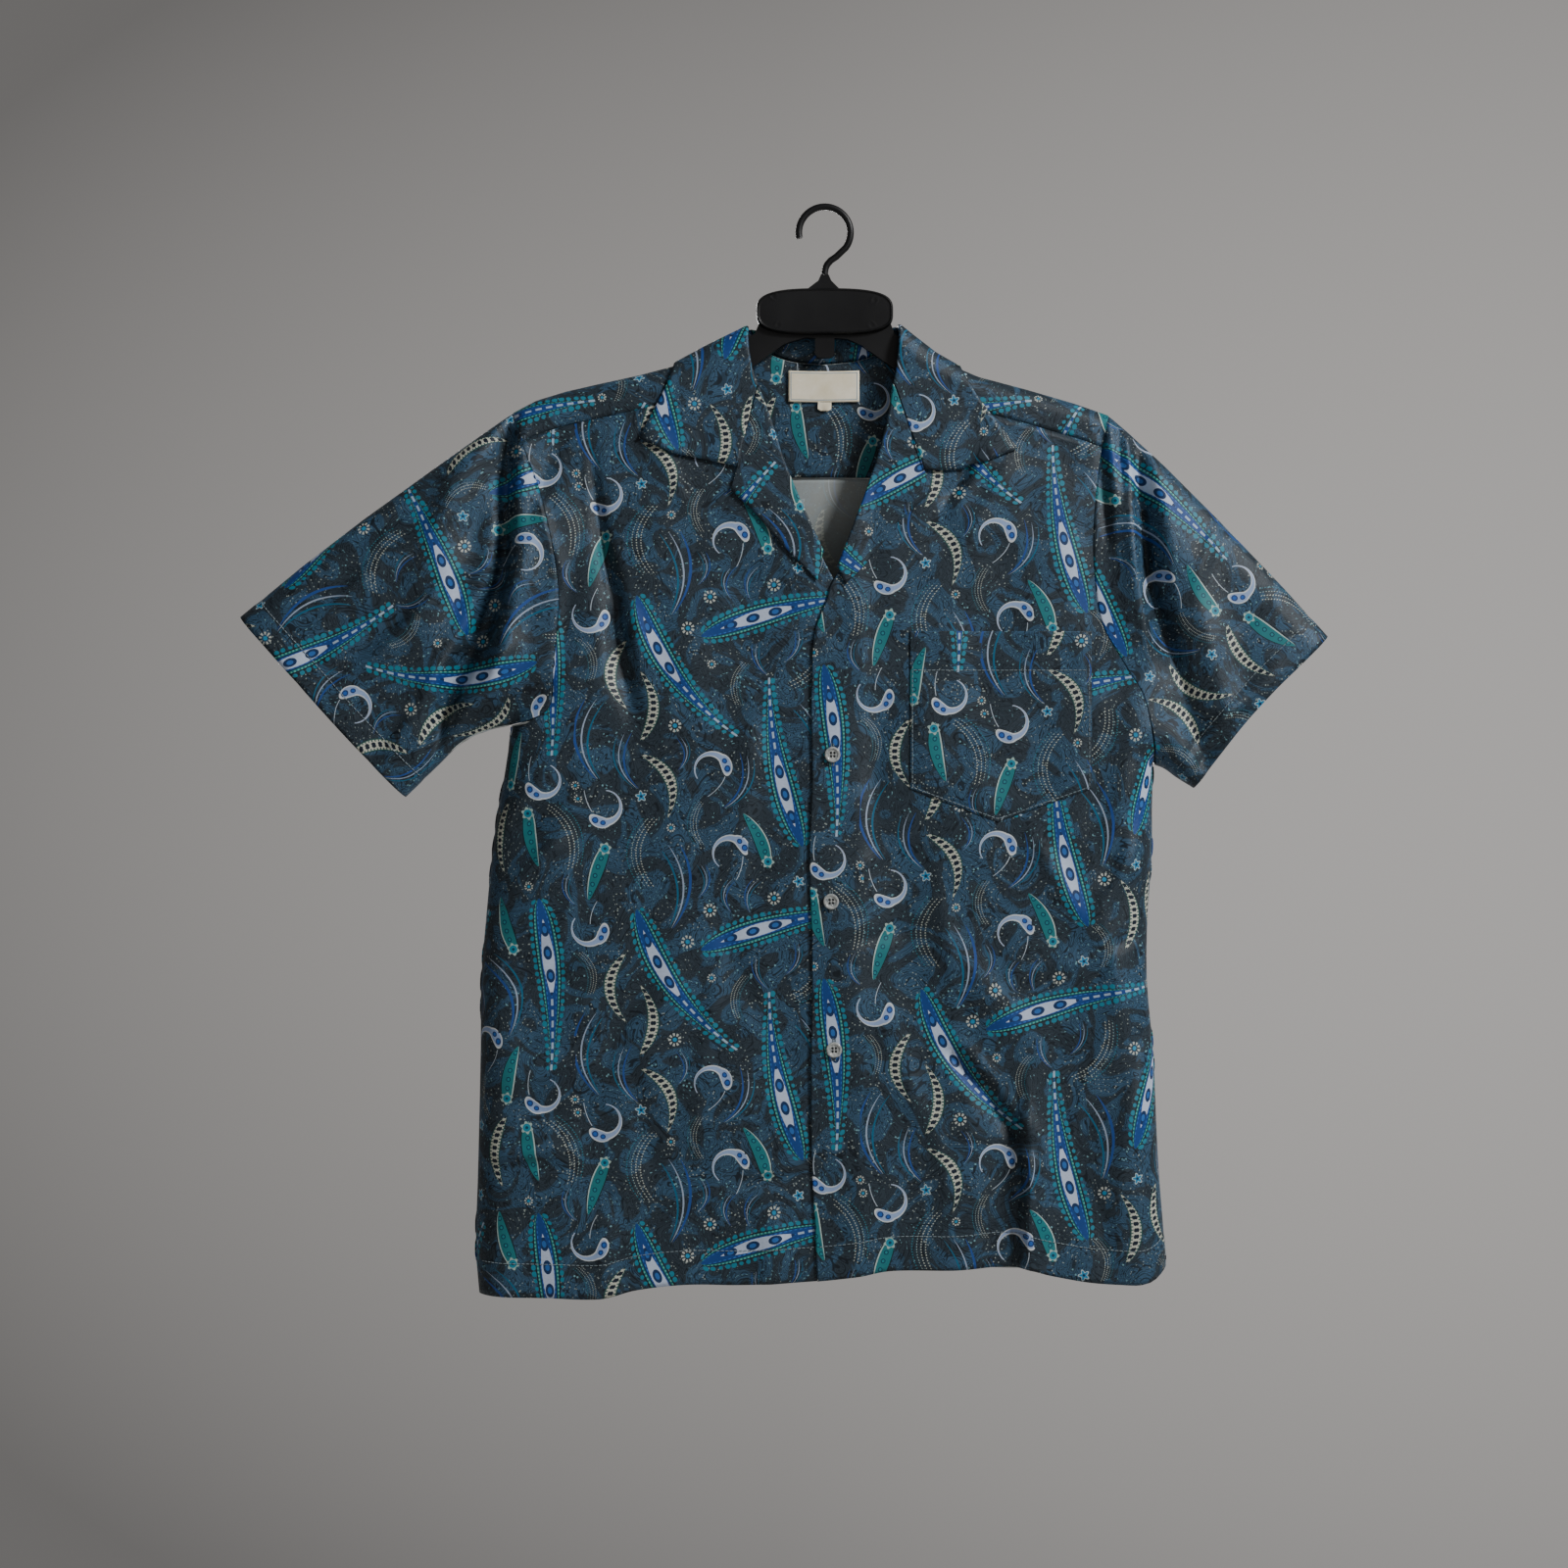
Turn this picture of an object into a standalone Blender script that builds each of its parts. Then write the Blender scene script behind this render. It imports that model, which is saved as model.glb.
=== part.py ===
"""Short-sleeved camp-collar shirt with a patch pocket, hung on a plastic hanger.

Metres, +Z up. The origin is the inner crown of the hook. The front faces -Y.
Every cloth panel lies on one skin. A place on the skin is (x, w): w is the drop below the
shoulder line, below 0 on the front and above 0 on the back, so a panel can cross the shoulder.
All sizes below are in millimetres and are turned into metres when a mesh is made.
"""

import math

import bpy
import numpy as np

MM = 0.001

# Cloth
WALL = 1.4                # thickness of one layer
SEAM = 0.35               # space between neighbouring panels
LAYER = 0.4               # space under a piece that lies on a panel
RISE = WALL + LAYER       # outer face of such a piece above the panel
YOKE_FRONT_DROP = 28.0    # front yoke seam below the shoulder line
YOKE_BACK_Z = -206.0      # back yoke seam
SHOULDER_REACH = 13.0     # how far the roundness of the shoulder fold reaches
SIDE_REACH = 26.0         # the same at the side seams and under the sleeves
UNDERLAP_X = 17.0         # edge of the under front, behind the over front
OVERLAP_LIFT = 1.95       # the over front stands this far out where it covers the under front
COLLAR_RISE = RISE + 0.9   # the collar stands a little off the shoulder
LAPEL_RISE = RISE + 0.5

# Pocket, label, buttons
POCKET_LEFT, POCKET_RIGHT, POCKET_TOP = 65.0, 204.0, -327.0
POCKET_CORNER, POCKET_POINT_X, POCKET_POINT_Z = -447.5, 132.0, -473.0
LABEL_LEFT, LABEL_RIGHT, LABEL_TOP, LABEL_BOTTOM = -28.0, 27.0, -123.0, -147.0
TAB_HALF, TAB_BOTTOM = 5.25, -154.0
BUTTON_R, BUTTON_T = 5.95, 2.6
BUTTON_HOLE_R, BUTTON_HOLE_AT = 0.75, 1.75
BUTTONS = ((5.6, -421.6), (4.5, -533.8), (6.75, -647.0))

# Hanger
ARM_HALF_T = 3.0
ARM_CLEAR = 7.0           # arm top below the shoulder line
ARM_END = 212.0
PLATE_HALF_W, PLATE_TOP, PLATE_BOTTOM = 52.8, -62.0, -97.0
PLATE_BACK, PLATE_T = -3.4, 3.6
HOOK_WIRE_R, HOOK_R = 2.6, 20.0
STUB_TOP, STUB_BASE = -50.4, -61.5


def table(names, *rows):
    """A table with named columns, one tuple for each row."""
    return {name: np.array([row[i] for row in rows], float) for i, name in enumerate(names.split())}


# The shoulder line, on from there down the fold at the top of each sleeve.
TOP = table("x z", (-520, -369), (-451.5, -315), (-403, -275), (-356, -239), (-304, -201.5), (-275, -181),
            (-241, -157), (-223, -147.5), (-200, -140.5), (-174, -134.5), (-144, -128), (-115.5, -120.5),
            (-91.5, -107.5), (-58, -91), (-52, -89.5), (52, -88.5), (55, -89), (67, -98.5), (85, -112.5),
            (100, -121), (118.5, -129), (156, -139), (193.5, -150), (219, -159), (237, -174.5),
            (262.5, -198), (308, -243.5), (354, -291.5), (388.5, -330), (440, -388))

# The side seams from the armpit down, one row for each height.
SIDES = table("z left right", (-400, -243, 250), (-428, -246, 253.5), (-460, -252, 253), (-493, -256.5, 253),
              (-549, -262, 249.5), (-594, -265.5, 249), (-646, -266, 253.5), (-739, -268, 258),
              (-807, -269.5, 263), (-836, -267, 263.5), (-900, -267, 264))
PIT = {"left": (-243.0, -400.0), "right": (253.5, -428.0)}

# The lower fold of each sleeve, armpit to hem and on past it.
UNDER = {"left": table("x z", (-243, -400), (-262, -404), (-280, -412), (-299, -430), (-324, -454), (-360, -489)),
         "right": table("x z", (253.5, -428), (261, -431), (271.5, -438.5), (285, -447), (315, -466))}

# The sleeve hem, bottom to top.
CUFF = {"left": table("x z", (-324, -454), (-352, -425), (-388, -386), (-421, -349), (-451.5, -315)),
        "right": table("x z", (285, -447), (317, -404), (345, -372.5), (366, -352), (388.5, -330))}

# The armhole seams, armpit to shoulder.
ARMHOLE = {
    ("left", -1): table("x z", (-243, -400), (-227, -396), (-212, -386), (-208, -354), (-204, -294), (-217, -225),
                        (-233, -180), (-241, -157)),
    ("left", 1): table("x z", (-243, -400), (-229, -391), (-219, -372), (-213, -330), (-213, -280), (-222, -225),
                       (-235, -180), (-241, -157)),
    ("right", -1): table("x z", (253.5, -428), (250, -404), (243, -375), (229, -352), (212, -320), (206, -275),
                         (207, -232), (214, -180), (219, -159)),
    ("right", 1): table("x z", (253.5, -428), (246, -402), (234, -370), (223, -340), (214, -300), (211, -255),
                        (213, -205), (217, -178), (219, -159)),
}

HEM = table("x z", (-267, -836), (-208, -837), (-169, -837), (-145.5, -831), (-110, -827), (-70.5, -827),
            (-9, -824), (27, -820), (47, -816.5), (100, -816), (149, -813.5), (172.5, -820), (225, -827),
            (250.5, -825), (263.5, -815))
HEM_BACK = table("x z", (-267, -836), (-180, -833), (-60, -826), (60, -822), (180, -822), (263.5, -815))

# The edge of the over front below the opening.
OVER_EDGE = table("z x", (-281, 6), (-301, 2), (-324, -7), (-369, -10.5), (-444, -10), (-496, -12), (-578, -10),
                  (-669, -11), (-744, -10), (-814, -6), (-830, -6))

# Half of the depth between front and back.
DEPTH = table("z half", (-88, 9), (-130, 10.5), (-160, 12), (-206, 14.5), (-260, 17.5), (-330, 20), (-400, 21.5),
              (-600, 23), (-760, 24.5), (-840, 25))

# The roll: collar from the middle of the back to the gorge, then the lapel down to the opening's
# foot. fold is the turned edge, seam how far under the fold the panel starts, edge the free edge,
# bend a place that the cloth passes between them.
ROLL = {
    "left": table("fold_x fold_w seam bend_x bend_w edge_x edge_w",
                  (0, 8, 20, 0, 36, 0, 64),
                  (-26, 7, 18, -30, 36, -38, 63),
                  (-46, 4.5, 12, -58, 30, -77, 54),
                  (-56, 2, 8, -76, 13, -103, 26),
                  (-58.5, 0, 6, -84, 0, -115, 0),
                  (-58.5, -16, 4.2, -86, -18, -123, -17),
                  (-55.5, -34, 2.8, -80, -50, -133, -34),
                  (-51, -48, 2.2, -67, -105, -142.5, -51)),
    "right": table("fold_x fold_w seam bend_x bend_w edge_x edge_w",
                   (0, 8, 20, 0, 36, 0, 64),
                   (26, 7, 18, 30, 36, 38, 63),
                   (45, 4.5, 12, 56, 30, 74, 54),
                   (53.5, 2, 8, 73, 13, 95, 26),
                   (56, 0, 6, 80, 0, 103, 0),
                   (56.5, -16, 4.2, 84, -18, 117, -17),
                   (55, -34, 2.8, 85, -50, 133, -34),
                   (52, -48, 2.2, 76, -97, 148, -50)),
}
LAPEL = {
    "left": table("fold_x fold_w edge_x edge_w", (-51, -48, -67, -105), (-43, -69, -72.5, -120.5),
                  (-31.5, -105, -52, -149), (-19, -136, -33, -171), (-7, -163, -17, -188), (-0.5, -177, -6, -199)),
    "right": table("fold_x fold_w edge_x edge_w", (52, -48, 76, -97), (48.5, -72, 82, -109),
                   (41, -101, 62, -144), (31, -131, 46, -169), (19.5, -161, 30, -188), (8.6, -189, 15, -203)),
}

# The largest folds. out is how far the cloth stands out of the smooth form, below 0 sinks in;
# lean is the turn away from upright, in degrees, positive with its top to the right.
FRONT_FOLDS = table("x z length width out lean",
                    (-264, -245, 190, 13, -6.0, 16), (-286, -235, 210, 15, 4.0, 18),
                    (-176, -250, 120, 14, -2.5, -20), (-156, -330, 110, 12, -2.5, -6),
                    (-222, -470, 90, 14, -3.5, 40), (-214, -520, 80, 12, 3.0, 30),
                    (-190, -662, 120, 13, 2.5, 82), (-40, -742, 70, 12, -2.0, 84),
                    (262, -270, 190, 11, -6.0, 6), (238, -262, 200, 12, 5.5, 3), (288, -290, 150, 12, 4.0, 10),
                    (232, -440, 120, 13, 4.0, 8), (120, -600, 130, 14, 3.0, -38), (154, -750, 150, 9, 5.0, 0),
                    (132, -750, 150, 14, -4.5, 2), (-120, -560, 260, 26, 2.5, 4), (60, -540, 240, 24, -2.0, -5),
                    (200, -700, 200, 22, -2.5, 4), (-200, -770, 150, 20, 2.5, -3), (35, -770, 120, 18, 2.0, 3))
BACK_FOLDS = table("x z length width out lean",
                   (-150, -420, 300, 24, 3.5, 5), (-60, -560, 360, 30, -3.0, -2), (50, -470, 340, 26, 3.5, 2),
                   (150, -600, 320, 26, -3.5, -4), (-190, -700, 240, 22, -3.0, 3), (205, -420, 160, 18, 3.0, -10),
                   (-266, -270, 180, 14, -4.5, 18), (250, -280, 180, 13, -4.0, 4), (110, -740, 180, 20, 3.0, 3),
                   (0, -300, 200, 24, -2.0, 0))


def curve(xs, ys, at):
    """Smooth curve through a table's rows (Hermite, with the slopes of its neighbours)."""
    xs, ys, at = np.asarray(xs, float), np.asarray(ys, float), np.asarray(at, float)
    if xs[0] > xs[-1]:
        xs, ys = xs[::-1], ys[::-1]
    steps = np.diff(ys) / np.diff(xs)
    slopes = np.concatenate([steps[:1], (steps[1:] + steps[:-1]) / 2, steps[-1:]])
    at = np.clip(at, xs[0], xs[-1])
    i = np.clip(np.searchsorted(xs, at) - 1, 0, len(xs) - 2)
    h = xs[i + 1] - xs[i]
    t = (at - xs[i]) / h
    a, b = (1 + 2 * t) * (1 - t) ** 2, t * t * (3 - 2 * t)
    return a * ys[i] + b * ys[i + 1] + h * slopes[i] * t * (1 - t) ** 2 - h * slopes[i + 1] * t * t * (1 - t)


def along(rows, names, at):
    """Places at the lengths `at` (millimetres) along a table's polyline, as one array a name."""
    first, second = rows[names[0]], rows[names[1]]
    run = np.concatenate([[0], np.cumsum(np.hypot(np.diff(first), np.diff(second)))])
    return curve(run, first, at), curve(run, second, at)


def run_length(rows, names):
    return float(np.hypot(np.diff(rows[names[0]]), np.diff(rows[names[1]])).sum())


def ramp(value, start, end):
    t = np.clip((value - start) / (end - start), 0, 1)
    return t * t * (3 - 2 * t)


def top(x):
    return np.interp(x, TOP["x"], TOP["z"])


def side_rows(side):
    """Places down a side seam, armpit to hem, which the front and the back share."""
    end = 0 if side == "left" else -1
    pz = PIT[side][1]
    z = pz - np.array([3, 12, 26] + list(np.linspace(26, pz - HEM["z"][end], 12)[1:]))
    x = curve(SIDES["z"], SIDES[side], z)
    x[-1] = HEM["x"][end]
    return np.stack([x, z], axis=-1)


def to_polyline(x, z, line):
    """Distance from each place to a polyline."""
    best = np.full(np.shape(x), 1e9)
    for (ax, az), (bx, bz) in zip(line[:-1], line[1:]):
        dx, dz = bx - ax, bz - az
        t = np.clip(((x - ax) * dx + (z - az) * dz) / (dx * dx + dz * dz), 0, 1)
        best = np.minimum(best, np.hypot(x - ax - t * dx, z - az - t * dz))
    return best


def outline():
    """The fold lines of the flat garment: shoulders, and sides with the under-sleeves."""
    shoulders = [[(x, z) for x, z in zip(TOP["x"], TOP["z"]) if x <= -52],
                 [(x, z) for x, z in zip(TOP["x"], TOP["z"]) if x >= 52]]
    sides = []
    for side in ("left", "right"):
        down = [tuple(place) for place in side_rows(side)]
        px, hem_z = down[-1]
        sides.append([(px, hem_z - 60)] + down[::-1] + [PIT[side]] +
                     list(zip(UNDER[side]["x"][1:], UNDER[side]["z"][1:])))
    return shoulders, sides


SHOULDERS, SIDE_LINES = outline()


def rounded(distance, reach):
    t = np.clip(distance / reach, 0, 1)
    return np.sqrt(np.maximum(1 - (1 - t) ** 2, 0))


def folds(x, z, rows):
    total = np.zeros(np.shape(x))
    for fx, fz, length, width, out, lean in zip(*(rows[n] for n in "x z length width out lean".split())):
        c, s = math.cos(math.radians(lean)), math.sin(math.radians(lean))
        across, down = (x - fx) * c - (z - fz) * s, (x - fx) * s + (z - fz) * c
        total += out * np.exp(-(across / width) ** 2) * np.exp(-(down / (length / 2)) ** 4)
    return total


def depth(x, z, face):
    """How far the outer face stands from the middle plane."""
    half = curve(DEPTH["z"], DEPTH["half"], z) * (1 - 0.2 * ramp(np.abs(x), 235, 330))
    near_top = np.minimum(*(to_polyline(x, z, line) for line in SHOULDERS))
    near_side = np.minimum(*(to_polyline(x, z, line) for line in SIDE_LINES))
    edge = rounded(near_top, SHOULDER_REACH + 6 * ramp(np.abs(x), 200, 300)) * rounded(near_side, SIDE_REACH)
    full = half + np.where(face > 0, folds(x, z, BACK_FOLDS), folds(x, z, FRONT_FOLDS))
    return np.maximum(full * edge, 0.4)


def point(x, w):
    z = top(x) - np.abs(w)
    face = np.where(w > 0, 1.0, -1.0)
    return np.stack([x, face * depth(x, z, face), z], axis=-1)


def skin(x, w, out=0.0):
    """Places on the garment, moved out by `out` along the cloth's normal."""
    x, w = np.asarray(x, float), np.asarray(w, float)
    if np.ndim(out) == 0 and out == 0:
        return point(x, w)
    e = 1.0
    normal = np.cross(point(x + e, w) - point(x - e, w), point(x, w + e) - point(x, w - e))
    normal /= np.linalg.norm(normal, axis=-1, keepdims=True)
    return point(x, w) + normal * np.asarray(out, float)[..., None]


def drop(x, z, face):
    """The w of a place given by its height."""
    return face * (top(x) - z)


def lift(x):
    """The over front stands out over the under front."""
    return OVERLAP_LIFT * (1 - ramp(x, 23, 40))


def patch(first, last, head, foot, share, v):
    """Coons patch: first and last are the edges at share 0 and 1, head and foot at v 0 and 1."""
    u, v = share[None, :, None], v[:, None, None]
    flat = (1 - u) * first[:, None] + u * last[:, None]
    head_off = head - ((1 - share[:, None]) * head[0] + share[:, None] * head[-1])
    foot_off = foot - ((1 - share[:, None]) * foot[0] + share[:, None] * foot[-1])
    return flat + (1 - v) * head_off[None] + v * foot_off[None]


def edge_shares(width, ends, inner):
    """Shares across a panel, close together where it rounds into a side seam."""
    near = [SIDE_REACH * (1 - math.cos(math.radians(a))) / width for a in (0, 6, 25, 48, 74)]
    low = near if "first" in ends else [0.0]
    high = [1 - s for s in near][::-1] if "last" in ends else [1.0]
    middle = np.linspace(low[-1], high[0], inner + 1)[1:-1]
    return np.array(low + list(middle) + high)


FRONT_SHARES = np.concatenate([[0, 0.035, 0.07, 0.105, 0.145], edge_shares(235, ("last",), 9)[2:]])


def material(name, colour, roughness, metallic=0.0):
    made = bpy.data.materials.new(name)
    made.use_nodes = True
    shader = made.node_tree.nodes["Principled BSDF"]
    shader.inputs["Base Color"].default_value = (*colour, 1)
    shader.inputs["Roughness"].default_value = roughness
    shader.inputs["Metallic"].default_value = metallic
    return made


def add_mesh(name, verts, faces, mat):
    mesh = bpy.data.meshes.new(name)
    mesh.from_pydata([tuple(float(c) * MM for c in v) for v in verts], [], faces)
    mesh.update()
    made = bpy.data.objects.new(name, mesh)
    made.data.materials.append(mat)
    SHIRT.objects.link(made)
    return made


def add_cloth(name, grid, mat, wall=WALL, closed=False, toward=None):
    """A wall inward from a grid of places on its outer face. `toward` is a direction that the
    outer face of the grid's middle looks in, which settles the winding."""
    rows, cols = grid.shape[:2]
    faces = [(r * cols + c, r * cols + (c + 1) % cols, (r + 1) * cols + (c + 1) % cols, (r + 1) * cols + c)
             for r in range(rows - 1) for c in range(cols if closed else cols - 1)]
    r, c = (rows - 1) // 2, (cols - 1) // 2
    looks = np.cross(grid[r, c + 1] - grid[r, c], grid[r + 1, c] - grid[r, c])
    if float(np.dot(looks, toward)) < 0:
        faces = [f[::-1] for f in faces]
    made = add_mesh(name, grid.reshape(-1, 3), faces, mat)
    add_wall(made, wall)
    return made


def add_wall(made, wall):
    shell = made.modifiers.new("Wall", "SOLIDIFY")
    shell.thickness = wall * MM
    shell.offset = -1
    shell.use_even_offset = False
    made.data.shade_smooth()


NEAR_SHOULDER = (0.0, 0.7, 2.6, 5.8, 10.0)   # drops of the rows that round the shoulder


def armhole(side, face):
    """Places of an armhole seam, armpit to shoulder, and which of them is the yoke seam's."""
    rows = ARMHOLE[side, face]
    total = run_length(rows, "xz")
    fine = np.linspace(0, total, 801)
    x, z = along(rows, "xz", fine)
    under_top = top(x) - z
    wanted = list(NEAR_SHOULDER) + ([YOKE_FRONT_DROP] if face < 0 else [17.0])
    high = [float(np.interp(-q, -under_top[400:], fine[400:])) for q in wanted][::-1]
    if face > 0:
        high = [float(np.interp(YOKE_BACK_Z, z[300:], fine[300:]))] + high
    middle = list(np.linspace(24, high[0], 9)[1:-1])
    at = np.array([0, 4, 12, 24] + middle + high)
    return np.stack(along(rows, "xz", at), axis=-1), 4 + len(middle)


def neck(side):
    """The neck seam of the panels as (x, w) rows, from the middle of the back to the gorge and on
    down the roll line."""
    xs, ws, _, _ = roll_rows(side, np.linspace(0, 1, 29))
    seam = curve(np.linspace(0, 1, len(ROLL[side]["seam"])), ROLL[side]["seam"], np.linspace(0, 1, 29))
    dx, dw = bend_way(xs, ws, side)
    seam = np.maximum(seam, (COLLAR_RISE + WALL) / 2) + 1.3
    x, w = xs + dx * seam, ws + dw * seam
    low = LAPEL[side]
    lx, lw = along(low, ("fold_x", "fold_w"), np.linspace(6, run_length(low, ("fold_x", "fold_w")), 12))
    dx, dw = bend_way(lx, lw, side)
    own = (LAPEL_RISE + WALL) / 2 + 1.5
    return np.concatenate([x, lx + dx * own]), np.concatenate([w, lw + dw * own])


def neck_at(side, w):
    """The x of the front neck seam at a drop."""
    nx, nw = neck(side)
    k = int(np.argmax(nw <= 0))
    return float(np.interp(-w, -nw[k - 1:k + 20], nx[k - 1:k + 20]))


def bend_way(x, w, side):
    """The way from the fold to under the panel's edge, square to the fold."""
    dx, dw = np.gradient(x), np.gradient(w)
    length = np.hypot(dx, dw)
    turn = 1 if side == "left" else -1
    return turn * dw / length, -turn * dx / length


def roll_rows(side, at):
    rows = ROLL[side]
    t = np.linspace(0, 1, len(rows["seam"]))
    return (curve(t, rows["fold_x"], at), curve(t, rows["fold_w"], at),
            (curve(t, rows["bend_x"], at), curve(t, rows["bend_w"], at)),
            (curve(t, rows["edge_x"], at), curve(t, rows["edge_w"], at)))


def rolled(fold, way, seam, bend, edge, rise, extra, steps):
    """Sections of cloth that comes up from the seam, turns over the fold and lies on the panel."""
    (fx, fw), (dx, dw) = fold, way
    turn_r, middle = (rise + WALL) / 2, (rise - WALL) / 2
    grid = []
    for run, out in ([(np.maximum(seam, turn_r), -WALL),
                      (np.maximum(seam * 0.5, turn_r / 2) + turn_r * 0.5, -WALL)] if seam.max() > turn_r + 1 else []) + \
            [(np.full_like(seam, turn_r * (1 + math.cos(a))), middle + turn_r * math.sin(a))
             for a in np.radians((270, 225, 180, 135, 90))]:
        run = np.maximum(run, 0)
        x, w = fx + dx * run, fw + dw * run
        grid.append(skin(x, w, out + extra(x)))
    sx, sw = fx + dx * turn_r, fw + dw * turn_r
    for t in np.linspace(0, 1, steps + 1)[1:]:
        half = bend is not None and t <= 0.5
        if bend is None:
            x, w = sx + (edge[0] - sx) * t, sw + (edge[1] - sw) * t
        elif half:
            x, w = sx + (bend[0] - sx) * t * 2, sw + (bend[1] - sw) * t * 2
        else:
            x, w = bend[0] + (edge[0] - bend[0]) * (t * 2 - 1), bend[1] + (edge[1] - bend[1]) * (t * 2 - 1)
        grid.append(skin(x, w, rise + extra(x)))
    return np.array(grid)


def no_lift(x):
    return np.zeros_like(x)


def front_edges(side):
    """The outer edge of a front, from the yoke seam down the armhole and the side to the hem."""
    seam_points, k = armhole(side, -1)
    return np.concatenate([seam_points[:k + 1][::-1], side_rows(side)])


def rows_of(outer):
    z = outer[:, 1]
    return (z - z[0]) / (z[-1] - z[0])


def inner_edge(side, v, stop_x, hem_z, under):
    """The neck, roll and centre edge of a front, at the row shares v."""
    nx, nw = neck(side)
    keep = (nw < -YOKE_FRONT_DROP - 1)
    start = neck_at(side, -YOKE_FRONT_DROP)
    nx = np.concatenate([[start], nx[keep]])
    z = top(nx) - np.concatenate([[YOKE_FRONT_DROP], -nw[keep]])
    if under:
        line = [(14.0, -302.0), (UNDERLAP_X, -330.0), (UNDERLAP_X, hem_z)]
    else:
        line = [(float(curve(OVER_EDGE["z"], OVER_EDGE["x"], q)), q) for q in (-287, -301, -324, -369, -444, -496, -578, -669, -744)]
        line.append((stop_x, hem_z))
    xs = np.concatenate([nx, [p[0] for p in line]])
    zs = np.concatenate([z, [p[1] for p in line]])
    at = zs[0] + v * (zs[-1] - zs[0])
    return np.stack([np.interp(-at, -zs, xs), at], axis=-1)


def build_front(name, side, mat):
    under = side == "left"
    outer = front_edges(side)
    v = rows_of(outer)
    stop_x = UNDERLAP_X if under else -6.0
    hem_z = float(curve(HEM["x"], HEM["z"], stop_x))
    inner = inner_edge(side, v, stop_x, hem_z, under)
    share = FRONT_SHARES
    head_x = inner[0, 0] + (outer[0, 0] - inner[0, 0]) * share
    head_z = top(head_x) - YOKE_FRONT_DROP
    head_z = head_z + np.interp(share, [0, 1], [inner[0, 1] - head_z[0], outer[0, 1] - head_z[-1]])
    foot_x = inner[-1, 0] + (outer[-1, 0] - inner[-1, 0]) * share
    foot = np.stack([foot_x, curve(HEM["x"], HEM["z"], foot_x)], axis=-1)
    foot[0], foot[-1] = inner[-1], outer[-1]
    grid = patch(inner, outer, np.stack([head_x, head_z], axis=-1), foot, share, v)
    grid[0, :, 1] -= SEAM
    x, w = grid[..., 0], drop(grid[..., 0], grid[..., 1], -1)
    if under:
        places = skin(x, w)
    else:
        places = skin(x, w)
        places[..., 1] -= lift(x)
    return add_cloth(name, places, mat, toward=(0, -1, 0))


def build_back(mat):
    edges = []
    for side in ("left", "right"):
        seam_points, k = armhole(side, 1)
        edges.append(np.concatenate([seam_points[:k + 1][::-1], side_rows(side)]))
    left, right = edges
    share = edge_shares(505, ("first", "last"), 17)
    head_x = left[0, 0] + (right[0, 0] - left[0, 0]) * share
    head = np.stack([head_x, np.interp(share, [0, 1], [left[0, 1], right[0, 1]])], axis=-1)
    foot_x = left[-1, 0] + (right[-1, 0] - left[-1, 0]) * share
    foot = np.stack([foot_x, curve(HEM_BACK["x"], HEM_BACK["z"], foot_x)], axis=-1)
    foot[0], foot[-1] = left[-1], right[-1]
    v = (rows_of(left) + rows_of(right)) / 2
    grid = patch(left, right, head, foot, share, v)
    grid[0, :, 1] -= SEAM
    return add_cloth("back", skin(grid[..., 0], drop(grid[..., 0], grid[..., 1], 1)), mat, toward=(0, 1, 0))


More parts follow.
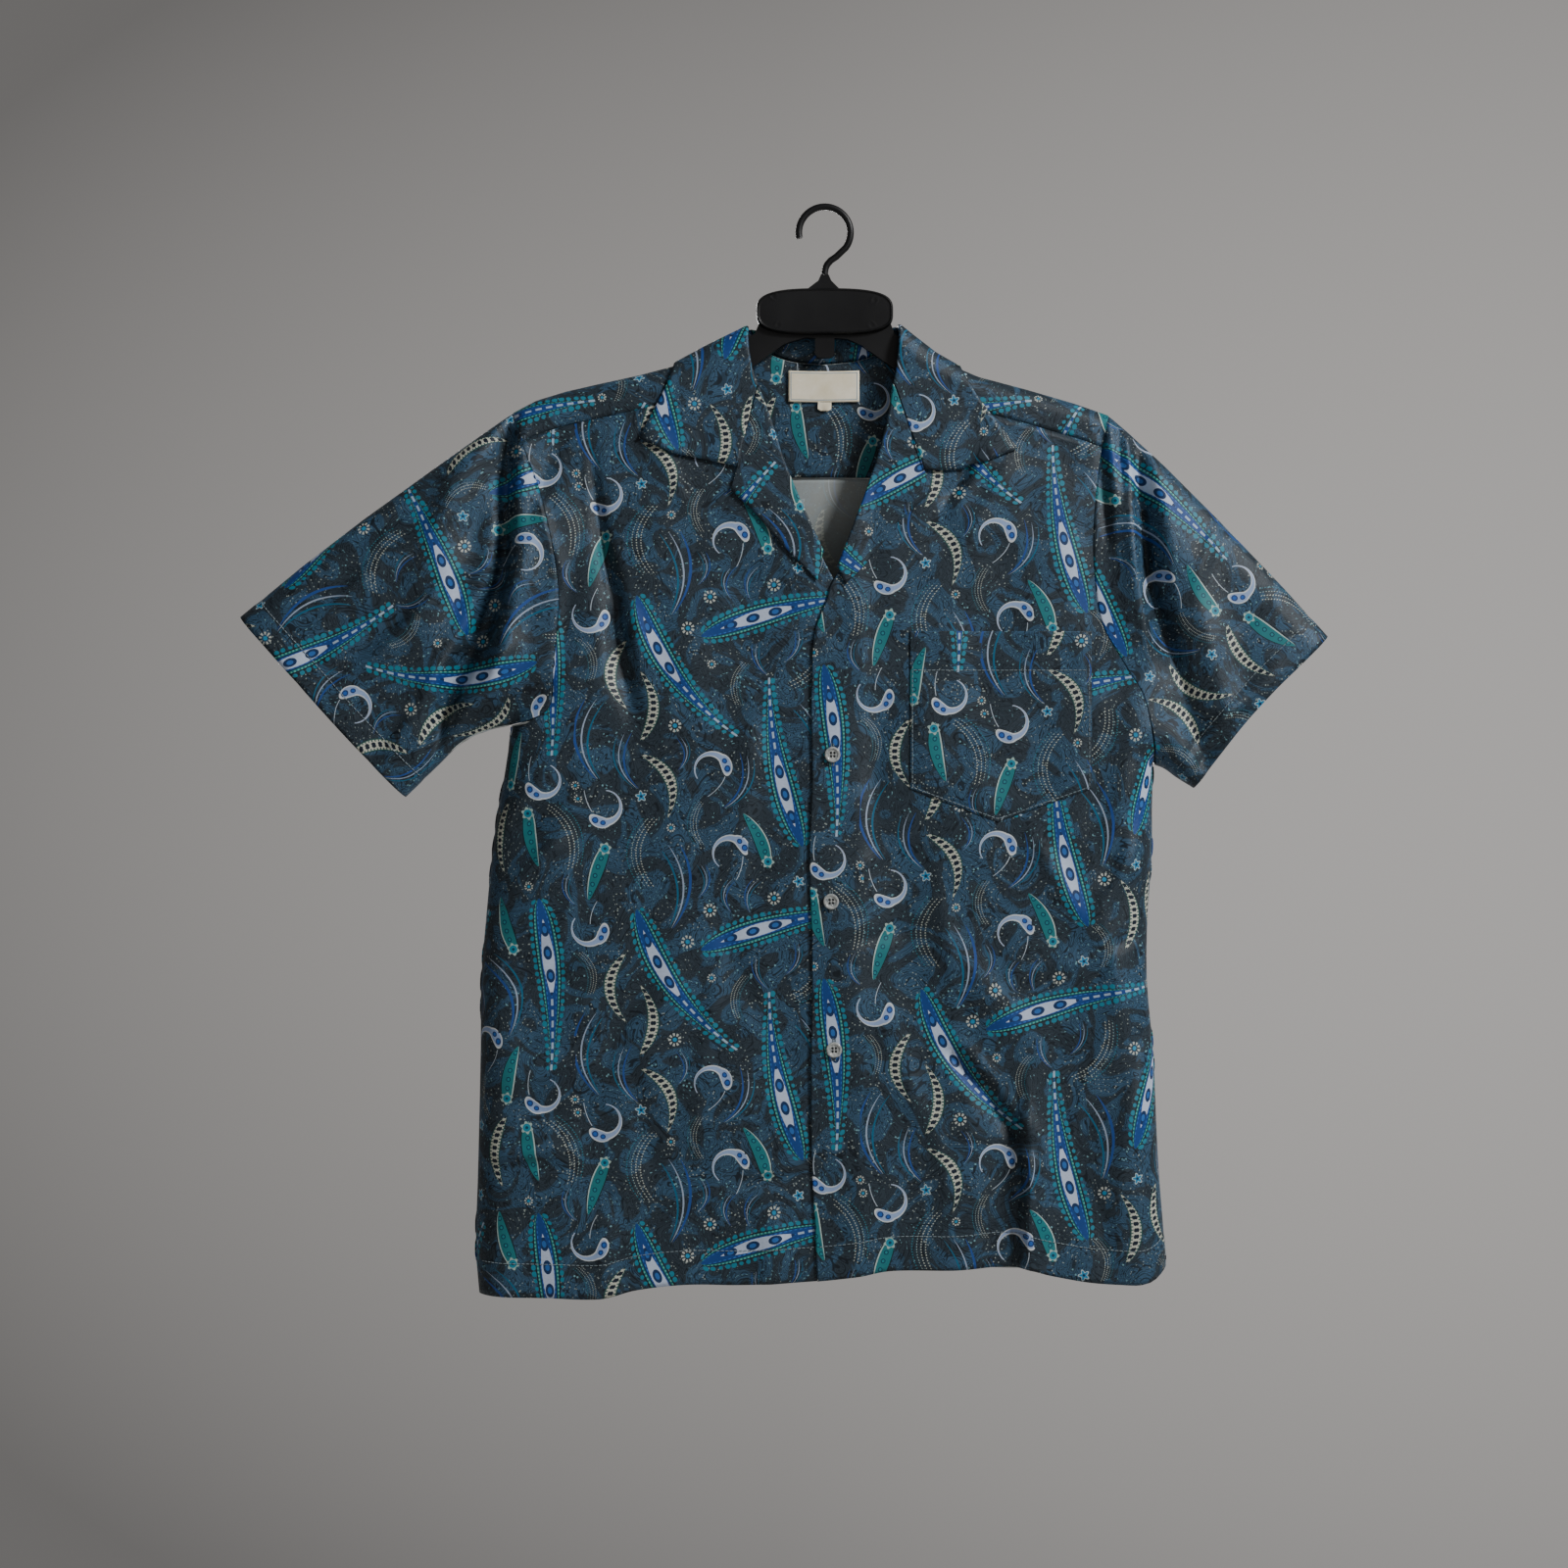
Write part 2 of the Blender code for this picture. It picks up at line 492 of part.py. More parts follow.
def build_yoke(mat):
    """Middle block below the neck seam, and a wing over each shoulder to the front seam."""
    verts, faces, seen = [], [], {}

    def vertex(x, w):
        key = (round(float(x), 4), round(float(w), 4))
        if key not in seen:
            seen[key] = len(verts)
            verts.append(skin(np.array(x, float), np.array(w, float)))
        return seen[key]

    def block(grid_x, grid_w):
        ids = [[vertex(x, w) for x, w in zip(rx, rw)] for rx, rw in zip(grid_x, grid_w)]
        for r in range(len(ids) - 1):
            for c in range(len(ids[0]) - 1):
                faces.append((ids[r][c], ids[r][c + 1], ids[r + 1][c + 1], ids[r + 1][c]))

    corner = {}
    for side in ("left", "right"):
        nx, nw = neck(side)
        k = int(np.argmax(nw <= 0))
        t = nw[k - 1] / (nw[k - 1] - nw[k])
        corner[side] = (nx, nw, float(nx[k - 1] + t * (nx[k] - nx[k - 1])))
    heights = {}
    for side in ("left", "right"):
        places, k = armhole(side, 1)
        heights[side] = (places[k:, 0], drop(places[k:, 0], places[k:, 1], 1))
    neck_low = float(drop(np.array(-60.0), np.array(YOKE_BACK_Z), 1))
    share_w = np.array([neck_low, 17.0] + list(NEAR_SHOULDER[::-1])) / neck_low

    # Middle block, from the back seam up to the neck seam.
    xl, xr = corner["left"][2], corner["right"][2]
    cols = xl + (xr - xl) * (1 - np.cos(np.linspace(0, math.pi, 13))) / 2
    back_x = np.concatenate([corner["left"][0][::-1], corner["right"][0][1:]])
    back_w = np.concatenate([corner["left"][1][::-1], corner["right"][1][1:]])
    on_back = back_w >= -0.01
    high = np.interp(cols, back_x[on_back], back_w[on_back])
    high[0] = high[-1] = 0.0
    low = drop(cols, np.full_like(cols, YOKE_BACK_Z), 1)
    block([cols for _ in share_w], [high + (low - high) * s for s in share_w])

    # Wings.
    for side, turn in (("left", 1), ("right", -1)):
        ax, aw = heights[side]
        x0 = corner[side][2]
        share = FRONT_SHARES
        grid_x = [x0 + (x1 - x0) * share for x1 in ax]
        grid_w = []
        for k, (x1, w1, s) in enumerate(zip(ax, aw, share_w)):
            xs = x0 + (x1 - x0) * share
            low_w = drop(xs, np.full_like(xs, YOKE_BACK_Z), 1)
            grid_w.append(low_w if k == 0 else low_w[0] * s + share * (w1 - low_w[0] * s))
        front, k = armhole(side, -1)
        fx, fw = front[k:, 0][::-1], drop(front[k:, 0], front[k:, 1], -1)[::-1]
        nx, nw, _ = corner[side]
        down = nw <= 0
        for x1, w1 in zip(fx[1:], fw[1:]):
            f = w1 / fw[-1]
            w0 = -YOKE_FRONT_DROP * f
            xn = float(np.interp(-w0, -np.concatenate([[0], nw[down]]), np.concatenate([[x0], nx[down]])))
            grid_x.append(xn + (x1 - xn) * share)
            grid_w.append(w0 + (w1 - w0) * share)
        if turn > 0:
            grid_x, grid_w = [g[::-1] for g in grid_x], [g[::-1] for g in grid_w]
        block(grid_x, grid_w)

    # Rows run from the back seam to the front, columns to +X: turn the faces to look out.
    made = add_mesh("yoke", verts, [f[::-1] for f in faces], mat)
    made.data.update()
    middle = min(range(len(verts)), key=lambda i: abs(verts[i][0]) + abs(verts[i][2] - YOKE_BACK_Z))
    if made.data.vertices[middle].normal.y < 0:
        made.data.flip_normals()
    add_wall(made, WALL)
    return made


def build_lining(mat):
    """Inner yoke, behind the neck opening."""
    xs, high = [], []
    for side, turn in (("left", -1), ("right", 1)):
        nx, nw = neck(side)
        keep = nw > 11
        order = slice(None, None, -1) if turn < 0 else slice(1, None)
        xs += list(nx[keep][order])
        high += list(nw[keep][order])
    cols = np.linspace(xs[0], xs[-1], 13)
    top_w = np.interp(cols, xs, high) + 0.5
    low = drop(cols, np.full_like(cols, YOKE_BACK_Z + 0.5), 1)
    share = np.linspace(0, 1, 7)
    grid_w = np.array([top_w + (low - top_w) * s for s in share])
    grid_x = np.array([cols for _ in share])
    return add_cloth("yoke_lining", skin(grid_x, grid_w, np.full(grid_x.shape, -RISE)), mat, toward=(0, 1, 0))


def build_sleeve(name, side, mat):
    """A tube from the armhole to the hem, closed under the arm."""
    turn = -1 if side == "left" else 1
    front, _ = armhole(side, -1)
    back, _ = armhole(side, 1)
    pit_to_hem = UNDER[side]
    cuff_rows = CUFF[side]
    cuff_total = run_length(cuff_rows, "xz")
    share = np.linspace(0, 1, 9)
    under_total = run_length({k: v[:-1] for k, v in pit_to_hem.items()}, "xz")
    under = np.stack(along({k: v[:-1] for k, v in pit_to_hem.items()}, "xz", share * under_total), axis=-1)
    shoulder_x, hem_x = front[-1, 0], cuff_rows["x"][-1]
    over_x = shoulder_x + (hem_x - shoulder_x) * share
    over = np.stack([over_x, top(over_x)], axis=-1)
    parts = []
    for face, seam in ((-1, front), (1, back)):
        run = np.concatenate([[0], np.cumsum(np.hypot(*np.diff(seam, axis=0).T))])
        v = run / run[-1]
        spread = 0.5 - 0.5 * np.cos(np.pi * (0.12 + 0.76 * v))
        spread = (spread - spread[0]) / (spread[-1] - spread[0])
        cuff = np.stack(along(cuff_rows, "xz", (0.5 * v + 0.5 * spread) * cuff_total), axis=-1)
        drops = drop(seam[:, 0], seam[:, 1], face)
        dx, dw = np.gradient(seam[:, 0]), np.gradient(drops)
        gap = (SEAM + 1.3 * (1 - ramp(run, 10, 45))) / np.hypot(dx, dw) * turn * -face
        near_x, near_w = seam[:, 0] + dw * gap, drops - dx * gap
        near = np.stack([near_x, top(near_x) - np.abs(near_w)], axis=-1)
        grid = patch(near, cuff, under, over, share, v)
        x = grid[..., 0]
        parts.append((x, drop(x, grid[..., 1], face)))
    # Around: front from the armpit up, then the back down again.
    x = np.concatenate([parts[0][0], parts[1][0][::-1][1:-1]])
    w = np.concatenate([parts[0][1], parts[1][1][::-1][1:-1]])
    n = len(parts[0][0])
    w[n - 1] = 0.0
    places = skin(x, w)
    places[0, :, 1] = 0.0
    places[n - 1, :, 1] = 0.0
    grid = np.swapaxes(places, 0, 1)
    return add_cloth(name, grid, mat, closed=True, toward=sleeve_way(grid))


def sleeve_way(grid):
    """Outward at the place that settles a tube's winding."""
    rows, cols = grid.shape[:2]
    r, c = (rows - 1) // 2, (cols - 1) // 2
    return grid[r, c] - grid[r].mean(axis=0)


def build_collar(mat):
    middle = 4 / 7                 # the section that runs down the shoulder line
    at = np.array([0, 0.09, 0.17, 0.25, 0.32, 0.38, 0.43, 0.48, 0.515, 0.545, 0.562, middle, 0.577, 0.592, 0.62,
                   0.66, 0.71, 0.77, 0.84, 0.92, 1.0])
    halves = []
    for side in ("left", "right"):
        fx, fw, bend, edge = roll_rows(side, at)
        way = bend_way(fx, fw, side)
        way[0][0], way[1][0] = 0.0, 1.0
        rows = ROLL[side]
        seam = curve(np.linspace(0, 1, len(rows["seam"])), rows["seam"], at)
        halves.append(rolled((fx, fw), way, seam, bend, edge, COLLAR_RISE, no_lift, 6))
    left, right = halves
    grid = np.concatenate([left[:, ::-1], right[:, 1:]], axis=1)
    return add_cloth("collar", grid, mat, toward=collar_way(grid))


def collar_way(grid):
    rows, cols = grid.shape[:2]
    r, c = (rows - 1) // 2, (cols - 1) // 2
    inside = grid[0, c] * 0.5 + grid[-1, c] * 0.5
    away = grid[r, c] - inside
    return away


def build_lapel(name, side, mat, extra):
    rows = LAPEL[side]
    total = run_length(rows, ("fold_x", "fold_w"))
    t = np.concatenate([[0], np.cumsum(np.hypot(np.diff(rows["fold_x"]), np.diff(rows["fold_w"])))]) / total
    at = np.sort(np.concatenate([t, (t[1:] + t[:-1]) / 2]))    # the table's rows and halfway
    count = len(at)
    fx, fw = along(rows, ("fold_x", "fold_w"), at * total)
    edge = [np.interp(at, t, rows["edge_x"]), np.interp(at, t, rows["edge_w"])]
    # Leave the gorge seam open by the seam's width.
    gx, gw = edge[0][0] - fx[0], edge[1][0] - fw[0]
    turn = 1 if side == "left" else -1
    off = np.array([-turn * gw, turn * gx]) / math.hypot(gx, gw) * 0.7
    fx[0], fw[0] = fx[0] + off[0], fw[0] + off[1]
    edge[0][0], edge[1][0] = edge[0][0] + off[0], edge[1][0] + off[1]
    way = bend_way(fx, fw, side)
    grid = rolled((fx, fw), way, np.full(count, 1.0), None, edge, LAPEL_RISE, extra, 4)
    return add_cloth(name, grid, mat, toward=(0, -1, 0) if False else lapel_way(grid))


def lapel_way(grid):
    """Out of the fold, at the place that settles the winding."""
    rows, cols = grid.shape[:2]
    r, c = (rows - 1) // 2, (cols - 1) // 2
    low, high = grid[0, c], grid[4, c]
    centre = (low + high) / 2
    return grid[r, c] - centre if r < 4 else np.array((0.0, -1.0, 0.0))


def build_pocket(mat):
    cols = np.concatenate([np.linspace(POCKET_LEFT, POCKET_POINT_X, 6), np.linspace(POCKET_POINT_X, POCKET_RIGHT, 6)[1:]])
    low = np.interp(cols, [POCKET_LEFT, POCKET_POINT_X, POCKET_RIGHT], [POCKET_CORNER, POCKET_POINT_Z, POCKET_CORNER])
    share = np.linspace(0, 1, 10)
    z = np.array([POCKET_TOP + (low - POCKET_TOP) * s for s in share])
    x = np.array([cols for _ in share])
    return add_cloth("pocket", skin(x, drop(x, z, -1), np.full(x.shape, RISE)), mat, toward=(0, -1, 0))


def build_inner_label(name, left, right, high, low, mat, wall, corner=0.0):
    cols = np.linspace(left, right, 7 if right - left > 20 else 5)
    z = np.array([high + (low - high) * s for s in np.linspace(0, 1, 4)])
    x = np.array([cols for _ in z])
    z = np.array([np.full_like(cols, q) for q in z])
    if corner:
        z[-1, 0] += corner
        z[-1, -1] += corner
    out = np.full(x.shape, -(2 * RISE))
    return add_cloth(name, skin(x, drop(x, z, 1), out), mat, wall=wall, toward=(0, 1, 0))


def build_button(name, x, z, mat):
    """A dished disc with four holes, flat on the over front."""
    w = drop(np.array(x), np.array(z), -1)
    at = skin(np.array(x), w, 0.0)
    stand = at[1] - lift(np.array(x)) - 0.75
    profile = ((0.0, 0.0), (BUTTON_R - 0.5, 0.0), (BUTTON_R, 0.6), (BUTTON_R, 2.0), (BUTTON_R - 0.6, BUTTON_T),
               (BUTTON_R - 1.6, BUTTON_T - 0.1), (BUTTON_R - 2.2, BUTTON_T - 0.7), (0.0, BUTTON_T - 0.8))
    mesh = bpy.data.meshes.new(name)
    sides, verts, faces = 20, [], []
    for r, h in profile:
        verts.append([])
        for k in range(1 if r == 0 else sides):
            a = 2 * math.pi * k / sides
            verts[-1].append((r * math.cos(a), -h, r * math.sin(a)))
    flat, starts = [], []
    for ring in verts:
        starts.append(len(flat))
        flat += ring
    for i in range(len(profile) - 1):
        a, b = starts[i], starts[i + 1]
        for k in range(sides):
            n = (k + 1) % sides
            if len(verts[i]) == 1:
                faces.append((a, b + k, b + n))
            elif len(verts[i + 1]) == 1:
                faces.append((a + k, b, a + n))
            else:
                faces.append((a + k, b + k, b + n, a + n))
    mesh.from_pydata([tuple(c * MM for c in p) for p in flat], [], faces)
    mesh.update()
    made = bpy.data.objects.new(name, mesh)
    made.location = (x * MM, float(stand) * MM, z * MM)
    made.data.materials.append(mat)
    SHIRT.objects.link(made)
    for k in range(4):
        a = math.radians(45 + 90 * k)
        bpy.ops.mesh.primitive_cylinder_add(vertices=8, radius=BUTTON_HOLE_R * MM, depth=8 * MM,
                                            rotation=(math.pi / 2, 0, 0),
                                            location=((x + BUTTON_HOLE_AT * math.cos(a)) * MM, float(stand) * MM,
                                                      (z + BUTTON_HOLE_AT * math.sin(a)) * MM))
        tool = bpy.context.object
        tool.name = f"cut_{name}_{k}"
        to_cutters(tool)
        cut = made.modifiers.new(f"Hole {k}", "BOOLEAN")
        cut.object = tool
        cut.solver = "EXACT"
    return made


def to_cutters(tool):
    for held in tool.users_collection:
        held.objects.unlink(tool)
    CUTTERS.objects.link(tool)
    tool.hide_render = True
    tool.display_type = "WIRE"


def outline_curve(name, places, half_t, y, mat):
    """A flat outline in the XZ plane, cut from plate of twice half_t."""
    data = bpy.data.curves.new(name, "CURVE")
    data.dimensions = "2D"
    data.fill_mode = "BOTH"
    data.extrude = half_t * MM
    line = data.splines.new("POLY")
    line.points.add(len(places) - 1)
    for p, (x, z) in zip(line.points, places):
        p.co = (x * MM, z * MM, 0, 1)
    line.use_cyclic_u = True
    made = bpy.data.objects.new(name, data)
    made.rotation_euler = (math.pi / 2, 0, 0)
    made.location = (0, y * MM, 0)
    data.materials.append(mat)
    SHIRT.objects.link(made)
    return made


def arm_outline():
    """Shoulder arms with the stem below and the stub above, as one outline."""
    arm_x = np.array([62, 80, 100, 125, 150, 175, 195, ARM_END - 6])
    right_top = [(30, -64), (44, -72), (50, -86), (54, -96)] + [(x, float(top(x)) - ARM_CLEAR) for x in arm_x]
    right_end = [(ARM_END - 1, float(top(ARM_END)) - ARM_CLEAR - 3), (ARM_END, float(top(ARM_END)) - 16),
                 (ARM_END - 3, float(top(ARM_END)) - 22)]
    right_low = [(x, float(top(x)) - ARM_CLEAR - 17 - 0.05 * (ARM_END - x)) for x in arm_x[::-1][1:-1]]
    right_low += [(55, -124), (28.5, -105), (17, -100), (7.5, -99.5)]
    stem = [(7.5, -112), (5, -114.5), (-5, -114.5), (-7.5, -112)]
    left_x = -arm_x
    left_low = [(-7.5, -99.5), (-15, -99), (-31.5, -104), (-56, -122)]
    left_low += [(x, float(top(x)) - ARM_CLEAR - 17 - 0.05 * (ARM_END + x)) for x in left_x[1:-1]]
    left_end = [(-ARM_END + 3, float(top(-ARM_END)) - 22), (-ARM_END, float(top(-ARM_END)) - 16),
                (-ARM_END + 1, float(top(-ARM_END)) - ARM_CLEAR - 3)]
    left_top = [(x, float(top(x)) - ARM_CLEAR) for x in left_x[::-1]]
    left_top += [(-54, -96), (-50, -86), (-44, -72), (-27, -64)]
    stub = [(-13.5, STUB_BASE), (-5, -55), (-3, STUB_TOP), (3, STUB_TOP), (5, -55), (11.5, STUB_BASE)]
    return right_top + right_end + right_low + stem + left_low + left_end + left_top + stub


def plate_outline():
    """Wide plate with round ends and a low crown."""
    mid, half = (PLATE_TOP + PLATE_BOTTOM) / 2, (PLATE_TOP - PLATE_BOTTOM) / 2
    places = []
    for start in (90, -90):
        for k in range(9):
            a = math.radians(start - k * 22.5)
            end = PLATE_HALF_W - half
            x = (end if start == 90 else -end) + half * math.cos(a)
            z = mid + half * math.sin(a)
            places.append((x, z - (1.6 if z > mid + 4 else 0.0)))
    places.insert(0, (0, PLATE_TOP))
    places.insert(0, (-16, PLATE_TOP - 0.4))
    places.insert(2, (18, PLATE_TOP - 0.4))
    return places


def build_hook(mat):
    """Round bar from the stub, round the outside and over to a free end."""
    centre_z = HOOK_WIRE_R - HOOK_R
    places = [(0, STUB_TOP + 0.35), (0.4, -46), (3.2, -41), (9, -36)]
    for k in range(19):
        a = math.radians(-36 + k * 12.7)
        places.append((HOOK_R * math.cos(a), centre_z + HOOK_R * math.sin(a)))
    data = bpy.data.curves.new("hanger_hook", "CURVE")
    data.dimensions = "3D"
    data.bevel_depth = HOOK_WIRE_R * MM
    data.bevel_resolution = 2
    data.use_fill_caps = True
    line = data.splines.new("POLY")
    line.points.add(len(places) - 1)
    for p, (x, z) in zip(line.points, places):
        p.co = (x * MM, 0, z * MM, 1)
    made = bpy.data.objects.new("hanger_hook", data)
    data.materials.append(mat)
    SHIRT.objects.link(made)
    return made


def add_collection(name):
    made = bpy.data.collections.new(name)
    bpy.context.scene.collection.children.link(made)
    return made


for old in list(bpy.data.objects):
    bpy.data.objects.remove(old, do_unlink=True)
SHIRT = add_collection("Hawaiian shirt")
CUTTERS = add_collection("Cutters")

NAVY = material("Printed navy cloth", (0.026, 0.05, 0.085), 0.62)
CREAM = material("Cream woven label", (0.78, 0.7, 0.52), 0.8)
PEARL = material("Pearly grey button", (0.3, 0.34, 0.38), 0.25)
BLACK = material("Black plastic", (0.012, 0.012, 0.013), 0.4)

build_back(NAVY)
build_yoke(NAVY)
build_lining(NAVY)
build_front("front_under", "left", NAVY)
build_front("front_over", "right", NAVY)
build_lapel("lapel_left", "left", NAVY, no_lift)
build_lapel("lapel_right", "right", NAVY, lift)
build_collar(NAVY)
build_sleeve("sleeve_left", "left", NAVY)
build_sleeve("sleeve_right", "right", NAVY)
build_pocket(NAVY)
build_inner_label("label", LABEL_LEFT, LABEL_RIGHT, LABEL_TOP, LABEL_BOTTOM, CREAM, 1.0)
build_inner_label("size_tab", -TAB_HALF, TAB_HALF, LABEL_BOTTOM - 0.4, TAB_BOTTOM, CREAM, 1.0, 1.5)
for number, (button_x, button_z) in enumerate(BUTTONS, 1):
    build_button(f"button_{number}", button_x, button_z, PEARL)
outline_curve("hanger_body", arm_outline(), ARM_HALF_T, 0.0, BLACK)
outline_curve("hanger_plate", plate_outline(), PLATE_T / 2, PLATE_BACK - PLATE_T / 2, BLACK)
build_hook(BLACK)
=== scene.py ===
"""A short-sleeved camp-collar shirt in a dark all-over paisley, hung on a plastic hanger."""

import ast
import json
import math

import bmesh
import bpy
import numpy as np
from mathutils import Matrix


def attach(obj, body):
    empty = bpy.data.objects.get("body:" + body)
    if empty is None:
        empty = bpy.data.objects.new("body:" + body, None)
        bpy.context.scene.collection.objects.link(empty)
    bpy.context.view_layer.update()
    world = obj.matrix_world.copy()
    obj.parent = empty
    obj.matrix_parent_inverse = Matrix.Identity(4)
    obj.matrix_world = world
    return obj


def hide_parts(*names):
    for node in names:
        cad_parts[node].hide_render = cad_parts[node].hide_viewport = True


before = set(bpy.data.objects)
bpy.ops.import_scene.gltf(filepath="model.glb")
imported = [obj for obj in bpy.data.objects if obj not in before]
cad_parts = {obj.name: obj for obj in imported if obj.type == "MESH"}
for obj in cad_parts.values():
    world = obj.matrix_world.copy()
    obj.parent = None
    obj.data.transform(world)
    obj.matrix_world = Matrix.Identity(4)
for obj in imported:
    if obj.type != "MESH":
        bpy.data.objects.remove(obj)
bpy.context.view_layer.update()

# ---------------------------------------------------------------- camera
# Straight on to the front, far enough for 0.75 mm a pixel at the front of the cloth.
camera_data = bpy.data.cameras.new("camera")
camera_data.lens, camera_data.sensor_width = 60.0, 36.0
camera = bpy.data.objects.new("camera", camera_data)
camera.location = (-0.0315, -2.022, -0.444)
camera.rotation_euler = (math.pi / 2, 0, 0)
bpy.context.scene.collection.objects.link(camera)
bpy.context.scene.camera = camera

# ---------------------------------------------------------------- back panel
# One piece of light rayon cut from the yoke seam to the hem, hanging free behind the fronts.
# All cloth lies on one skin: a place is (x, w), with w the drop below the shoulder line, below 0
# on the front and above 0 on the back. Sizes here are in millimetres.
CLOTH = 0.8               # one layer
SEAM = 0.1                # space between panels at a seam
YOKE_FRONT_DROP = 28.0
YOKE_BACK_Z = -206.0
SHOULDER_REACH = 13.0
SIDE_REACH = 26.0
STEP = 4.0                # spacing of the grid
HEM_TURN, CUFF_TURN = 26.0, 20.0
FOLD_GAIN, CREASE_GAIN = 1.15, 1.9


def table(rows):
    """The columns of a table, whose rows of numbers are parted by commas."""
    return np.array([*zip(*(row.split() for row in rows.split(",")))], float)


# The outline and the seams, measured in the photo. A row is a place, x and z, except that a row of
# SIDES is z and x on the left and on the right, and one of DEPTH is z and half the depth.
TOP = table("""
-520 -369, -451.5 -315, -403 -275, -356 -239, -304 -201.5, -275 -181, -241 -157, -223 -147.5, -200 -140.5,
-174 -134.5, -144 -128, -115.5 -120.5, -91.5 -107.5, -58 -91, -52 -89.5, 52 -88.5, 55 -89, 67 -98.5,
85 -112.5, 100 -121, 118.5 -129, 156 -139, 193.5 -150, 219 -159, 237 -174.5, 262.5 -198, 308 -243.5,
354 -291.5, 388.5 -330, 440 -388""")
SIDES = table("""
-400 -243 250, -428 -246 253.5, -460 -252 253, -493 -256.5 253, -549 -262 249.5, -594 -265.5 249,
-646 -266 253.5, -739 -268 258, -807 -269.5 263, -836 -267 263.5, -900 -267 264""")
UNDER = {"left": table("-243 -400, -262 -404, -280 -412, -299 -430, -324 -454, -360 -489"),
         "right": table("253.5 -428, 261 -431, 271.5 -438.5, 285 -447, 315 -466")}
ARMHOLE = {
    ("left", -1): table("""
-243 -400, -227 -396, -212 -386, -208 -354, -204 -294, -217 -225, -233 -180, -241 -157"""),
    ("left", 1): table("""
-243 -400, -229 -391, -219 -372, -213 -330, -213 -280, -222 -225, -235 -180, -241 -157"""),
    ("right", -1): table("""
253.5 -428, 250 -404, 243 -375, 229 -352, 212 -320, 206 -275, 207 -232, 214 -180, 219 -159"""),
    ("right", 1): table("""
253.5 -428, 246 -402, 234 -370, 223 -340, 214 -300, 211 -255, 213 -205, 217 -178, 219 -159"""),
}
HEM = table("""
-267 -836, -208 -837, -169 -837, -145.5 -831, -110 -827, -70.5 -827, -9 -824, 27 -820, 47 -816.5, 100 -816,
149 -813.5, 172.5 -820, 225 -827, 250.5 -825, 263.5 -815""")
HEM_BACK = table("-267 -836, -180 -833, -60 -826, 60 -822, 180 -822, 263.5 -815")
DEPTH = table("""
-88 9, -130 10.5, -160 12, -206 14.5, -260 17.5, -330 20, -400 21.5, -600 23, -760 24.5, -840 25""")

# Broad folds, as in the solid: x, z, length, width, out and lean. out stands proud, below 0 sinks in,
# and lean is the turn from upright.
FRONT_FOLDS = table("""
-264 -245 190 13 -6 16, -286 -235 210 15 4 18, -176 -250 120 14 -2.5 -20, -156 -330 110 12 -2.5 -6,
-222 -470 90 14 -3.5 40, -214 -520 80 12 3 30, -190 -662 120 13 2.5 82, -40 -742 70 12 -2 84,
250 -270 190 10 -5.5 -9, 232 -250 170 11 4.5 -5, 284 -296 160 13 2.8 -13, 232 -440 120 13 4 8,
120 -600 130 14 3 -38, 154 -750 150 9 5 0, 132 -750 150 14 -4.5 2, -120 -560 260 26 2.5 4,
60 -540 240 24 -2 -5, 200 -700 200 22 -2.5 4, -200 -770 150 20 2.5 -3, 35 -770 120 18 2 3""")
BACK_FOLDS = table("""
-150 -420 300 24 3.5 5, -60 -560 360 30 -3 -2, 50 -470 340 26 3.5 2, 150 -600 320 26 -3.5 -4,
-190 -700 240 22 -3 3, 205 -420 160 18 3 -10, -266 -270 180 14 -4.5 18, 250 -280 180 13 -4 4,
110 -740 180 20 3 3, 0 -300 200 24 -2 0""")
